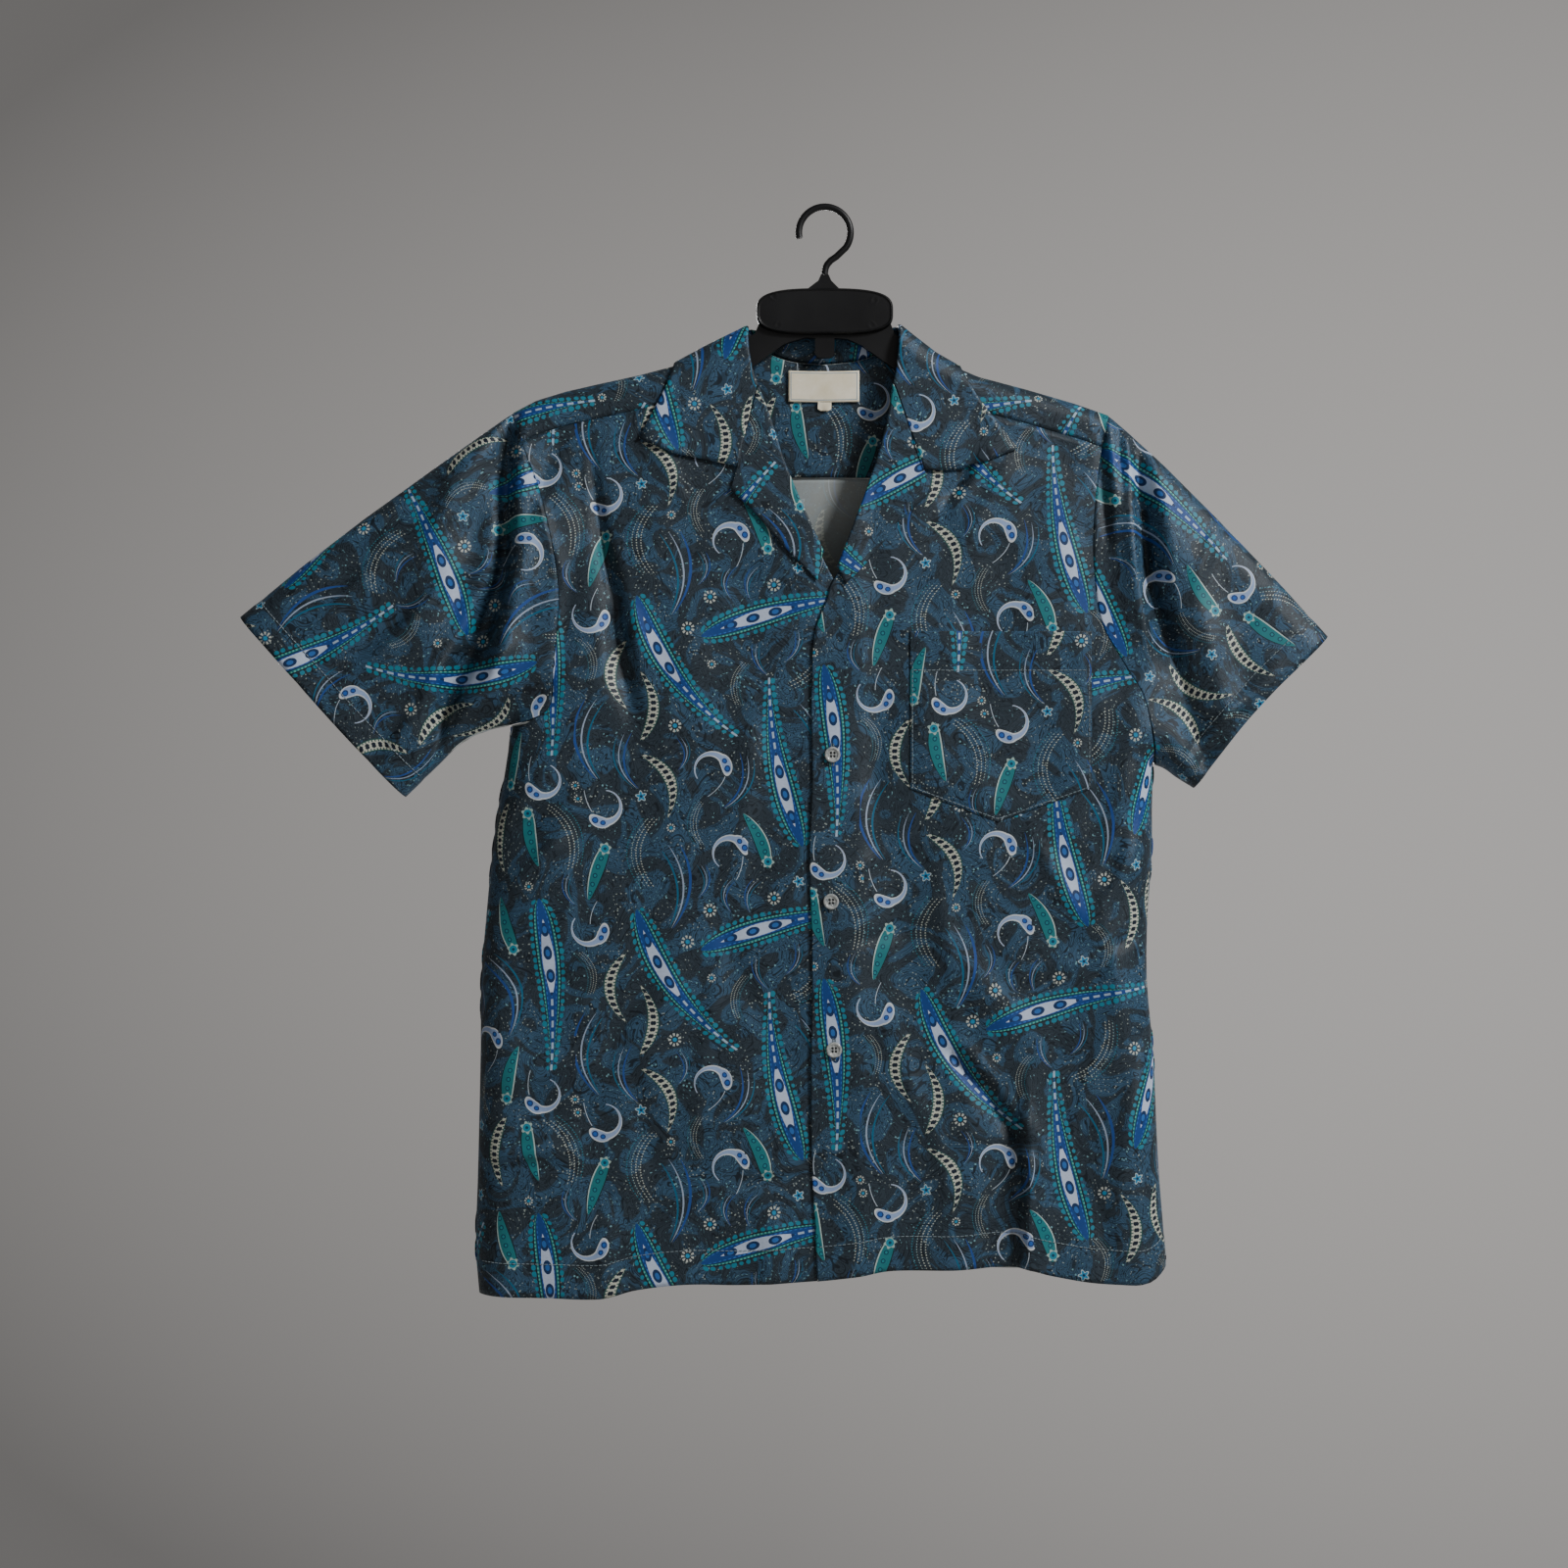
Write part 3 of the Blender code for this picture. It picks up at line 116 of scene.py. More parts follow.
# Creases, narrower and sharper, placed one by one.
FRONT_CREASES = table("""
-246 -222 120 5 -4.5 3, -271 -335 140 6 -5 23, -256 -330 120 7 3 22, -300 -300 130 6 2.2 40,
-345 -330 110 7 -2.2 48, -330 -270 120 6 1.8 52, -169 -268 130 4 -1.8 -10, -161 -340 60 8 -2.5 -6,
-150 -300 90 5 1.3 -12, -235 -425 62 5 -2.8 50, -224 -450 70 5 2.6 44, -238 -480 60 5 -2.6 60,
-221 -505 62 6 2.4 40, -240 -540 58 5 -2.2 66, -205 -560 70 6 1.6 25, -230 -727 62 4 2 84,
-232 -736 58 4 -1.8 82, -46 -748 42 4 -1.8 80, -46 -739 42 4 1.4 82, 132 -676 88 4 2.6 -38,
124 -686 88 6 -2.4 -38, 155 -752 142 3.5 3.6 0, 146 -756 140 6 -2.8 1, 206 -660 90 6 1.6 18,
90 -735 80 6 1.4 -12, -90 -640 110 7 1.4 8, -140 -700 100 7 -1.4 -12, -60 -450 120 8 1.2 5,
60 -660 100 7 1.2 -20, 180 -520 90 7 1.6 -30, 228 -480 80 6 -2.2 24, 222 -520 70 6 1.8 30,
40 -420 90 7 -1 4, 235 -222 110 5 3.2 -3, 245 -236 130 6 -4.2 -5, 262 -250 120 8 1.8 -9,
258 -312 110 7 -4.6 -16, 242 -300 90 6 2.8 -8, 279 -385 110 11 -3 -14, 302 -366 90 12 1.4 -14,
227 -190 60 4 -3 -4, -214 -205 70 6 -1.8 22, 215 -214 90 4 -2.4 -3, 221 -222 90 4 1.8 -3,
288 -412 84 13 -2.4 -24, 103 -211 42 4 -2.6 33, 112 -214 60 6 1.4 30, -246 -212 120 5 -4 2,
-253 -288 110 6 -6 12, -271 -340 110 7 -6 24, -291 -388 90 8 -5.5 16, -236 -232 150 8 3.2 3,
-239 -312 130 10 4.2 14, -262 -372 90 9 3.5 34, -250 -392 84 11 -6 62, -257 -330 110 9 -3.2 20,
-174 -232 100 3 -1.4 -7, -163 -300 110 3 -1.6 -10, -153 -352 90 7 -2.8 -8, -145 -345 90 8 1.6 -10,
-212 -250 90 6 1.4 -18, -196 -300 110 7 -1.2 8, -232 -600 80 6 -1.4 74, -222 -640 90 6 1.2 62,
-236 -690 70 5 -1.4 100, -180 -480 90 6 1.2 60, -176 -520 80 5 -1 72, -150 -620 100 6 -1.2 30,
-80 -700 90 7 1.2 62, -60 -600 110 7 -1 -24, 40 -500 70 5 1.1 66, 44 -560 80 5 -1.1 78, 60 -620 80 6 1.1 58,
112 -664 60 4 -2.2 -52, 140 -700 60 4 -2.6 -34, 149 -740 130 3 -2 -1, 166 -742 120 5 1.6 2,
190 -620 90 6 -1.2 30, 222 -590 90 6 1.4 -12, 236 -650 80 5 -1.4 20, 230 -720 90 6 1.4 8,
238 -560 60 5 -1.6 60, 196 -580 80 6 1.2 74, -330 -240 90 6 -1.6 60, -366 -300 100 6 1.6 40,
-390 -345 80 6 -1.4 34, -310 -380 100 6 2.2 30, -330 -400 80 6 -1.8 40, -296 -240 110 7 1.4 20,
300 -250 90 6 1.6 20, 340 -300 80 6 -1.4 44, 322 -380 70 6 1.6 50, 304 -410 60 5 -1.6 40,
-120 -200 80 7 1 -25, 120 -235 90 8 1 30, -40 -800 60 8 1.4 4, -168 -800 70 9 1.8 2, 214 -790 60 8 -1.8 -6,
92 -560 140 6 1.2 -8""")
BACK_CREASES = table("""
-225 -430 80 6 2.6 -50, -215 -470 70 6 -2.2 -44, 228 -440 80 6 -2.4 46, 212 -480 70 6 2.2 52,
-100 -650 160 6 1.8 6, 80 -560 150 6 -1.6 -8, 180 -690 110 6 2 12, -190 -600 110 6 -1.8 -14,
10 -720 90 6 1.6 82, -150 -300 130 7 1.6 -20, 140 -320 120 7 -1.6 24, -272 -300 170 6 3.2 20,
-330 -300 120 7 -2.4 44, 250 -300 200 6 3.6 -4, 272 -310 190 6 -4 4, -20 -420 140 7 1.4 10,
60 -800 60 8 1.6 4, -220 -790 60 8 -1.8 3""")
# Ripples: length, lean, phase and out.
WAVES = table("""
96 8 0.3 0.55, 61 -17 1.9 0.42, 143 31 2.6 0.6, 47 66 0.8 0.22, 33 12 4.1 0.18, 78 -48 5.2 0.3""")


def curve(xs, ys, at):
    """Cubic Hermite through a table's rows, each slope the mean of the steps beside it."""
    xs, ys, at = np.asarray(xs, float), np.asarray(ys, float), np.asarray(at, float)
    if xs[0] > xs[-1]:
        xs, ys = xs[::-1], ys[::-1]
    steps = np.diff(ys) / np.diff(xs)
    slopes = np.concatenate([steps[:1], (steps[1:] + steps[:-1]) / 2, steps[-1:]])
    at = np.clip(at, xs[0], xs[-1])
    i = np.clip(np.searchsorted(xs, at) - 1, 0, len(xs) - 2)
    h = xs[i + 1] - xs[i]
    t = (at - xs[i]) / h
    a, b = (1 + 2 * t) * (1 - t) ** 2, t * t * (3 - 2 * t)
    return a * ys[i] + b * ys[i + 1] + h * slopes[i] * t * (1 - t) ** 2 - h * slopes[i + 1] * t * t * (1 - t)


def pair(first, second):
    """Two arrays of numbers as one of places."""
    return np.stack([first, second], axis=-1)


def run_of(first, second):
    """Running length of a polyline."""
    return np.concatenate([[0], np.cumsum(np.hypot(np.diff(first), np.diff(second)))])


def along(rows, at):
    """Places at the given lengths along a table's polyline, one array a column."""
    run = run_of(*rows)
    return curve(run, rows[0], at), curve(run, rows[1], at)


def spaced(start, end, step=STEP):
    """Even places from start to end, about a step apart, both ends in."""
    return np.linspace(start, end, max(2, int(round(abs(end - start) / step)) + 1))


def ramp(value, start, end):
    """Smoothstep: 0 at start, 1 at end."""
    t = np.clip((value - start) / (end - start), 0, 1)
    return t * t * (3 - 2 * t)


def top(x):
    """Height of the shoulder line."""
    return np.interp(x, *TOP)


def side_rows(side):
    """Places down a side seam, armpit to hem, which the front and the back share."""
    column, end = (1, 0) if side == "left" else (2, -1)
    pit = UNDER[side][1, 0]
    z = pit - np.concatenate([[1.2, 3], np.linspace(7, pit - HEM[1, end], 104)])
    x = curve(SIDES[0], SIDES[column], z)
    return pair(x + (HEM[0, end] - x[-1]) * ramp(z, -780, z[-1]), z)


def to_lines(x, z, *lines):
    """Distance from each place to some polylines, the least over all their pieces."""
    best = np.full(np.shape(x), 1e9)
    for (ax, az), (bx, bz) in (ends for line in lines for ends in zip(line[:-1], line[1:])):
        dx, dz = bx - ax, bz - az
        t = np.clip(((x - ax) * dx + (z - az) * dz) / (dx * dx + dz * dz), 0, 1)
        best = np.minimum(best, np.hypot(x - ax - t * dx, z - az - t * dz))
    return best


SHOULDERS = [[(x, z) for x, z in TOP.T if turn * x >= 52] for turn in (-1, 1)]
SIDE_LINES = []
for side in ("left", "right"):
    down = [tuple(place) for place in side_rows(side)]
    SIDE_LINES.append([(down[-1][0], down[-1][1] - 60), down[-1], *down[:-1:5][::-1], *UNDER[side].T])


def rounded(distance, reach):
    """Quarter circle: 0 on the outline, 1 a reach inside it."""
    t = np.clip(distance / reach, 0, 1)
    return np.sqrt(np.maximum(1 - (1 - t) ** 2, 0))


def folds(x, z, rows, sharp):
    """Sum of ridges: out * exp(-|across / width| ^ sharp), fading out at their ends. Creases, whose
    sharp is below 2, bow a little towards one side."""
    total = np.zeros(np.shape(x))
    for fx, fz, length, width, out, lean in rows.T:
        c, s = math.cos(math.radians(lean)), math.sin(math.radians(lean))
        across, down = (x - fx) * c - (z - fz) * s, (x - fx) * s + (z - fz) * c
        bowed = across + (0.0 if sharp == 2.0 else 0.05 * length * np.sign(out)) * (down / length) ** 2
        total += out * np.exp(-np.abs(bowed / width) ** sharp) * np.exp(-(down / (length / 2)) ** 4)
    return total


def ripple(x, z, face):
    """Soft waves of hanging cloth: a few sines of unlike lengths and leans."""
    total = np.zeros(np.shape(x))
    for length, lean, phase, out in WAVES.T:
        a = math.radians(lean)
        total += out * np.sin((x * math.cos(a) + z * math.sin(a)) / length * 2 * math.pi + phase + face)
    return total


def depth(x, z, face):
    """How far the outer face stands from the middle plane."""
    half = curve(*DEPTH, z) * (1 - 0.2 * ramp(np.abs(x), 235, 330))
    by_top, by_side = to_lines(x, z, *SHOULDERS), to_lines(x, z, *SIDE_LINES)
    edge = rounded(by_top, SHOULDER_REACH + 6 * ramp(np.abs(x), 200, 300)) * rounded(by_side, SIDE_REACH)
    front, back = (folds(x, z, broad, 2.0) * FOLD_GAIN + folds(x, z, narrow, 1.5) * CREASE_GAIN
                   for broad, narrow in ((FRONT_FOLDS, FRONT_CREASES), (BACK_FOLDS, BACK_CREASES)))
    calm = ramp(by_top, 8, 50) * ramp(np.hypot(x, z + 140), 60, 150)
    return np.maximum((half + np.where(face > 0, back, front) + ripple(x, z, face) * calm) * edge, 0.05)


def point(x, w):
    """The place on the garment's outer face, in the frame, for an (x, w)."""
    z = top(x) - np.abs(w)
    face = np.where(w > 0, 1.0, -1.0)
    return np.stack([x, face * depth(x, z, face), z], axis=-1)


def skin(x, w, out=0.0):
    """Places on the garment, moved out along the cloth's normal."""
    x, w = np.asarray(x, float), np.asarray(w, float)
    if np.ndim(out) == 0 and out == 0:
        return point(x, w)
    e = 1.5
    normal = np.cross(point(x + e, w) - point(x - e, w), point(x, w + e) - point(x, w - e))
    normal /= np.linalg.norm(normal, axis=-1, keepdims=True)
    return point(x, w) + normal * np.asarray(out, float)[..., None]


def drop(x, z, face):
    """w for a place at height z: its drop below the shoulder line, with the face's sign."""
    return face * (top(x) - z)


def patch(first, last, head, foot, share, v):
    """Coons patch: first and last are the edges at share 0 and 1, head and foot at v 0 and 1."""
    u, v = share[None, :, None], v[:, None, None]
    flat = (1 - u) * first[:, None] + u * last[:, None]
    head_off = head - ((1 - share[:, None]) * head[0] + share[:, None] * head[-1])
    foot_off = foot - ((1 - share[:, None]) * foot[0] + share[:, None] * foot[-1])
    return flat + (1 - v) * head_off[None] + v * foot_off[None]


def edge_shares(width, both=True):
    """Shares across a panel, close together where it rounds into a side seam: at both its edges, or
    only at its last."""
    near = SIDE_REACH * (1 - np.cos(np.radians((0, 3, 8, 16, 26, 37, 48, 60, 74)))) / width
    low = near if both else np.array([0.0, 1.2 / width])
    high = 1 - near[::-1]
    return np.concatenate([low, spaced(low[-1], high[0], STEP / width)[1:-1], high])


# Drops of the rows near the shoulder line, close together where the cloth rounds over it.
NEAR_SHOULDER = (0.0, 0.25, 0.7, 1.5, 2.6, 4.0, 5.8, 7.8, 10.0, 13.5, 17.0, 21.0, 24.5)


def armhole(side, face):
    """Places of an armhole seam, armpit to shoulder, and which of them is the yoke seam's."""
    rows = ARMHOLE[side, face]
    fine = np.linspace(0, run_of(*rows)[-1], 1601)
    x, z = along(rows, fine)
    under_top = top(x) - z
    wanted = list(NEAR_SHOULDER) + ([YOKE_FRONT_DROP] if face < 0 else [])
    high = [float(np.interp(-q, -under_top[800:], fine[800:])) for q in wanted][::-1]
    if face > 0:
        seam = float(np.interp(YOKE_BACK_Z, z[600:], fine[600:]))
        high = list(np.linspace(seam, high[0], 15)[:-1]) + high
    at = np.concatenate([[0, 1.3, 2.6, 4, 8, 12, 16, 20], np.linspace(24, high[0], 52)[:-1], high])
    return pair(*along(rows, at)), len(at) - len(high)


def outer_edge(side, face):
    """A body panel's outer edge: from the yoke seam down the armhole and on down the side seam."""
    places, k = armhole(side, face)
    return np.concatenate([places[:k + 1][::-1], side_rows(side)])


def rows_of(outer):
    """Each place's share of the way down its edge."""
    return (outer[:, 1] - outer[0, 1]) / (outer[-1, 1] - outer[0, 1])


def excess(distance, reach):
    """How much more cloth than its plan goes round a fold, from where the rounding starts."""
    turn = np.arcsin(np.clip(1 - distance / reach, 0, 1))
    return reach * (turn - np.sin(turn))


def body_cloth(x, z, shift):
    """Where a place of the body lies in its flat cut: x grows by what goes round the side fold."""
    round_side = excess(to_lines(x, z, *SIDE_LINES), SIDE_REACH)
    return pair(x + np.sign(x) * round_side + shift[0], z + shift[1])


def over_cloth(x, w, shift):
    """The same for cloth that crosses the shoulder line."""
    z = top(x) - np.abs(w)
    more = excess(to_lines(x, z, *SHOULDERS), SHOULDER_REACH)
    v = top(x) + w + np.where(w < 0, more, SHOULDER_REACH * (math.pi - 2) - more)
    return pair(x + shift[0], v + shift[1])


# The printed repeat: a layout of this file's own, thrown like darts with a fixed seed so that no
# two motifs touch. A row is a kind of motif, its half length in mm, its clear half width as a share
# of that, and how many there are at most. The kinds: 1 long pod, 2 curled drop, 3 beaded stem,
# 4 small pod, 5 three strokes, 6 blossom, 7 ring of dots, 8 fans of dots.
REPEAT = np.array([336.0, 240.0])
KINDS = table("""
1 66 0.22 5, 2 21 0.72 6, 3 27 0.36 6, 4 23 0.32 5, 5 32 0.34 7, 8 27 0.38 7, 5 22 0.34 7, 7 5.4 1 6,
6 5 1 5, 8 17 0.38 10, 5 13 0.34 9, 7 3.6 1 6""")


def lay_out_motifs():
    """Each motif is a row of circles, kept where it clears all the others, round the repeat."""
    dice = np.random.default_rng(11)
    kept, circles = [], np.zeros((0, 3))
    for kind, half, rad, most in KINDS.T:
        found = 0
        for _ in range(1500):
            if found >= most:
                break
            centre = dice.uniform(0, 1, 2) * REPEAT
            lean = (48, 84, 128, 96, 40)[found % 5] if kind == 1 else 90
            turn = math.radians(lean + dice.normal(0, 15) + 180 * (dice.random() < 0.25))
            way = np.array([math.cos(turn), math.sin(turn)])
            steps = np.linspace(-1, 1, 9 if rad < 0.6 else 1) * (1 - rad if rad < 0.6 else 0)
            own = np.array([[*(centre + way * half * s), half * rad] for s in steps])
            gap = np.abs(own[:, None, :2] - circles[None, :, :2]) % REPEAT
            gap = np.minimum(gap, REPEAT - gap)
            if (np.hypot(gap[..., 0], gap[..., 1]) < own[:, None, 2] + circles[None, :, 2] + 2.0).any():
                continue
            circles = np.concatenate([circles, own])
            bend = dice.uniform(*((0.05, 0.18) if kind in (1, 4) else (0.3, 0.5)))
            kept.append((kind, *centre, turn, half, rad, bend * dice.choice([-1, 1]), dice.choice([-1, 1])))
            found += 1
    return np.array(kept)


MOTIFS = lay_out_motifs()
ROUND = np.concatenate([MOTIFS + np.array([0, i * REPEAT[0], j * REPEAT[1], 0, 0, 0, 0, 0])
                        for i in (-1, 0, 1) for j in (-1, 0, 1)])


def motif_maps(corners):
    """For each face, the motif whose oval its middle is deepest in; for each of its corners, the
    place in that motif's own frame (along and across, as shares of its half length)."""
    middle = corners.mean(axis=1)
    home = np.floor(middle / REPEAT) * REPEAT
    kind, mx, mz, turn, half, rad, bend, flip = ROUND.T
    pick = np.zeros(len(middle), int)
    for start in range(0, len(middle), 3000):
        part = (middle - home)[start:start + 3000]
        dx, dz = part[:, :1] - mx, part[:, 1:] - mz
        p = (dx * np.cos(turn) + dz * np.sin(turn)) / half
        q = (-dx * np.sin(turn) + dz * np.cos(turn)) / half
        off = np.hypot(np.maximum(np.abs(p) - (1 - rad), 0), q)
        pick[start:start + 3000] = np.argmin((off - rad) * half, axis=1)
    d = corners - home[:, None] - pair(mx, mz)[pick][:, None]
    c, s = np.cos(turn)[pick][:, None], np.sin(turn)[pick][:, None]
    size = half[pick][:, None]
    p = (d[..., 0] * c + d[..., 1] * s) / size
    q = (-d[..., 0] * s + d[..., 1] * c) / size * flip[pick][:, None]
    same = np.broadcast_to(pair(kind, bend)[pick][:, None], p.shape + (2,))
    return pair(p, q), same


def linear(code):
    """sRGB hex to linear colour."""
    parts = [int(code[i:i + 2], 16) / 255 for i in (1, 3, 5)]
    return (*[c / 12.92 if c <= 0.04045 else ((c + 0.055) / 1.055) ** 2.4 for c in parts], 1.0)


def add(tree, kind, links=None, out=0, **settings):
    """One node with its settings; links gives each input a socket or a value."""
    node = tree.nodes.new(kind)
    for name, value in settings.items():
        setattr(node, name, value)
    for key, value in (links or {}).items():
        if isinstance(value, bpy.types.NodeSocket):
            tree.links.new(value, node.inputs[key])
        else:
            node.inputs[key].default_value = value
    return node.outputs[out] if len(node.outputs) else node


WRITTEN = {ast.Add: "ADD", ast.Sub: "SUBTRACT", ast.Mult: "MULTIPLY", ast.Div: "DIVIDE",
           ast.Lt: "LESS_THAN", ast.Gt: "GREATER_THAN",
           "abs": "ABSOLUTE", "min": "MINIMUM", "max": "MAXIMUM"}


def formula(tree, known, part):
    """A written formula over a surface: a number, a known name, or an operation on such parts."""
    if isinstance(part, str):
        part = ast.parse(part).body[0].value
    if isinstance(part, ast.Constant):
        return float(part.value)
    if isinstance(part, ast.UnaryOp):
        return -float(part.operand.value)
    if isinstance(part, ast.Name):
        return known[part.id]
    if isinstance(part, ast.Call):
        operation, parts = WRITTEN.get(part.func.id, part.func.id.upper()), part.args
    elif isinstance(part, ast.Compare):
        operation, parts = WRITTEN[type(part.ops[0])], [part.left, part.comparators[0]]
    else:
        operation, parts = WRITTEN[type(part.op)], [part.left, part.right]
    inputs = {i: formula(tree, known, each) for i, each in enumerate(parts)}
    return add(tree, "ShaderNodeMath", inputs, operation=operation)


def make_material(name, noises, ground, layers, bump=None, maps=(), steps="", **sockets):
    """A Principled material from written parts. maps are the cloth's maps with names for their parts;
    without them a place is x, y and z on the piece. Each noise has a scale, a detail and a distortion,
    and each step is a formula with a name. Each layer's colour is laid over the ground by its formula.
    bump is a formula, a strength and a depth in metres."""
    made = bpy.data.materials.new(name)
    made.use_nodes = True
    tree, shader = made.node_tree, made.node_tree.nodes["Principled BSDF"]
    sources = [(add(tree, "ShaderNodeUVMap", uv_map=each), names) for each, names in maps]
    sources = sources or [(add(tree, "ShaderNodeTexCoord", out="Object"), "x y z")]
    known, place, dimensions = {}, sources[0][0], "2D" if maps else "3D"
    for source, names in sources:
        known.update(zip(names.split(), add(tree, "ShaderNodeSeparateXYZ", {0: source}).node.outputs))
    for key, scale, detail, distortion in noises:
        known[key] = add(tree, "ShaderNodeTexNoise", {"Vector": place, "Scale": scale, "Detail": detail,
                                                      "Distortion": distortion}, noise_dimensions=dimensions)
    if maps:
        known["specks"] = add(tree, "ShaderNodeTexVoronoi", {"Vector": place, "Scale": 30.0},
                              voronoi_dimensions=dimensions)
    for line in steps.strip().splitlines():
        key, written = line.split(" = ", 1)
        known[key] = formula(tree, known, written)
    colour = linear(ground)
    for line in layers.strip().splitlines():
        if line[0] == "#":
            share, over = formula(tree, known, line[8:]), linear(line[:7])
            colour = add(tree, "ShaderNodeMix", {0: share, 6: colour, 7: over}, 2, data_type="RGBA")
    tree.links.new(colour, shader.inputs["Base Color"])
    if bump:
        height = formula(tree, known, bump[0])
        relief = add(tree, "ShaderNodeBump", {"Strength": bump[1], "Distance": bump[2], "Height": height})
        tree.links.new(relief, shader.inputs["Normal"])
    for socket, value in sockets.items():
        end = shader.inputs[socket.replace("_", " ")]
        if isinstance(value, str) and value[0] != "#":
            tree.links.new(formula(tree, known, value), end)
        else:
            end.default_value = linear(value) if isinstance(value, str) else value
    return made


# The print, drawn by formulas in each motif's own frame: p runs along it and q across it.
FORMULAS = """
lines = abs(fract(rings * 15) - 0.5) < 0.12
fine = abs(fract(clouds * 21) - 0.5) < 0.13
patches = max(0, min(1, clouds * 14 - 6.7))
strewn = (specks < 0.17) * (drift > 0.53) * (abs(fract(rings * 8) - 0.5) < 0.17)
strung = (specks < 0.24) * (drift < 0.5) * (abs(fract(rings * 5) - 0.5) < 0.05)
arch = 1 - p * p
inside = abs(p) < 1
taper = power(max(arch, 0), 0.62)
across = q - bend * (arch - 0.5)
side = abs(across)
radius = sqrt(p * p + q * q)
angle = arctan2(q, p)
is1 = (abs(kind - 1) < 0.5) * inside
w1 = taper * (p * 0.5 + 0.62) * 0.17
f1 = side / w1
leaf = power((fract(p * 12) - 0.5) / 0.36, 2) + power((side - w1 - 0.035) / 0.026, 2) < slub * 3 - 0.6
almond = 1 - power((p - 0.3) / 0.46, 2)
heart = is1 * (side < almond * 0.07)
seed = power((fract(p * 3.7 + 0.15) - 0.5) / 0.3, 2) + power(across / 0.05, 2)
is2 = abs(kind - 2) < 0.5
t2 = max(0, min(1, (angle + 2.4) / 3.4))
w2 = power(t2, 1.8) * 0.17 + 0.018
off2 = abs(radius - 0.58)
head2 = power((angle - 1.0) / 0.72, 2) + power((radius - 0.6) / 0.21, 2)
tail2 = (off2 < w2) * (abs(angle + 0.7) < 1.7)
stalk2 = (abs(across - 0.34) < 0.014) * (abs(p + 0.55) < 0.42)
spots2 = power((angle - 1.28) / 0.2, 2) + power((radius - 0.61) / 0.11, 2)
dots2 = min(spots2, power((angle - 0.78) / 0.17, 2) + power((radius - 0.6) / 0.09, 2))
is3 = (abs(kind - 3) < 0.5) * inside
f3 = side / (taper * (p * 0.3 + 1) * 0.15)
bead = power((fract(p * 5.5) - 0.5) / 0.33, 2) + power((side - 0.03) / 0.05, 2) < 1
rung = max(f3 < 0.6, fract(p * 11) < 0.66)
is4 = (abs(kind - 4) < 0.5) * inside
f4 = across / (taper * (0.22 - p * 0.06))
ring4 = power((fract(p * 3.3) - 0.5) / 0.27, 2) + power(across / 0.078, 2)
away4 = sqrt((p + 0.8) * (p + 0.8) + q * q)
tuft = (abs(kind - 4) < 0.5) * (away4 < cosine(arctan2(q, p + 0.8) * 6) * 0.035 + 0.185)
is5 = (abs(kind - 5) < 0.5) * inside
is6 = abs(kind - 6) < 0.5
petal = cosine(angle * 5) * 0.2 + 0.72
is7 = abs(kind - 7) < 0.5
is8 = (abs(kind - 8) < 0.5) * inside * (side < 0.22)
row8 = (fract(across / 0.13) - 0.5) * 0.13
cell8 = (fract(p / 0.075) - 0.5) * 0.075
dots = is8 * (sqrt(row8 * row8 + cell8 * cell8) < 0.019)
"""
# What is laid on in turn, each colour with the formula of its place.
LAYERS = """
#35546d patches
#0c131a lines * 0.85
#10181f fine * 0.6
#8d9794 strewn
#6f9aa3 strung
Long pod: leaves, dark line, teal, blue band, pale heart with navy seeds
#237a90 is1 * leaf
#0f1a24 is1 * (f1 < 1.1)
#1a6870 is1 * (f1 < 0.98)
#5fae9f is1 * (f1 > 0.84) * (f1 < 0.98) * (fract(p * 23) < 0.5)
#0b1f2c is1 * (f1 < 0.76)
#18407e is1 * (f1 < 0.69)
#2f6fb8 is1 * (f1 > 0.52) * (f1 < 0.62) * (fract(p * 17) < 0.5)
#9fb4c8 is1 * (p < -0.15) * (side < 0.013) * (fract(p * 8) < 0.6)
#b9c6dc heart
#143058 heart * (seed < 1)
#2b63a8 heart * (seed < 0.25)
Curled drop: white edge, lilac, two royal spots, a thin stalk
#aeb9c4 is2 * stalk2
#c9ced0 is2 * max(tail2, head2 < 1)
#8da3c8 is2 * max((off2 < w2 * 0.62) * tail2, head2 < 0.66)
#142f62 is2 * (dots2 < 1)
#2559a6 is2 * (dots2 < 0.4)
Beaded stem: dark green edge, ivory rungs, dark holes
#1d4c48 is3 * (f3 < 1.15)
#b8baac is3 * (f3 < 0.95) * rung
#121d2c is3 * bead * (f3 < 0.75)
Small pod: teal, a pale edge, ringed dots, a tuft at its foot
#0f1a24 is4 * (abs(f4) < 1.12)
#1b7076 is4 * (abs(f4) < 0.98)
#a9bcb8 is4 * (f4 > 0.78) * (f4 < 0.98)
#11344e is4 * (ring4 < 1) * (abs(f4) < 0.6)
#217f86 is4 * (ring4 < 0.35) * (abs(f4) < 0.6)
#9db3ab tuft
#1f8096 tuft * (away4 < 0.135)
#123a55 tuft * (away4 < 0.05)
Three strokes
#234a8c is5 * (abs(across + 0.16 + p * 0.12) < taper * 0.034)
#94a3b8 is5 * (side < taper * 0.02)
#1d5f7e is5 * (abs(across - 0.15 - p * 0.1) < taper * 0.024)
Blossom, ring of dots, fans of dots
#aab8ba is6 * (radius < petal)
#237fa8 is6 * (radius < petal - 0.17)
#12264a is6 * (radius < 0.2)
#b4b8b0 is7 * (abs(radius - 0.72) < 0.2) * (cosine(angle * 9) > -0.1)
#2385ac is7 * (radius < 0.3)
#aaafa6 dots * (across > -0.065)
#256f80 dots * (across < -0.065)
#18222d wear * 0.2
"""

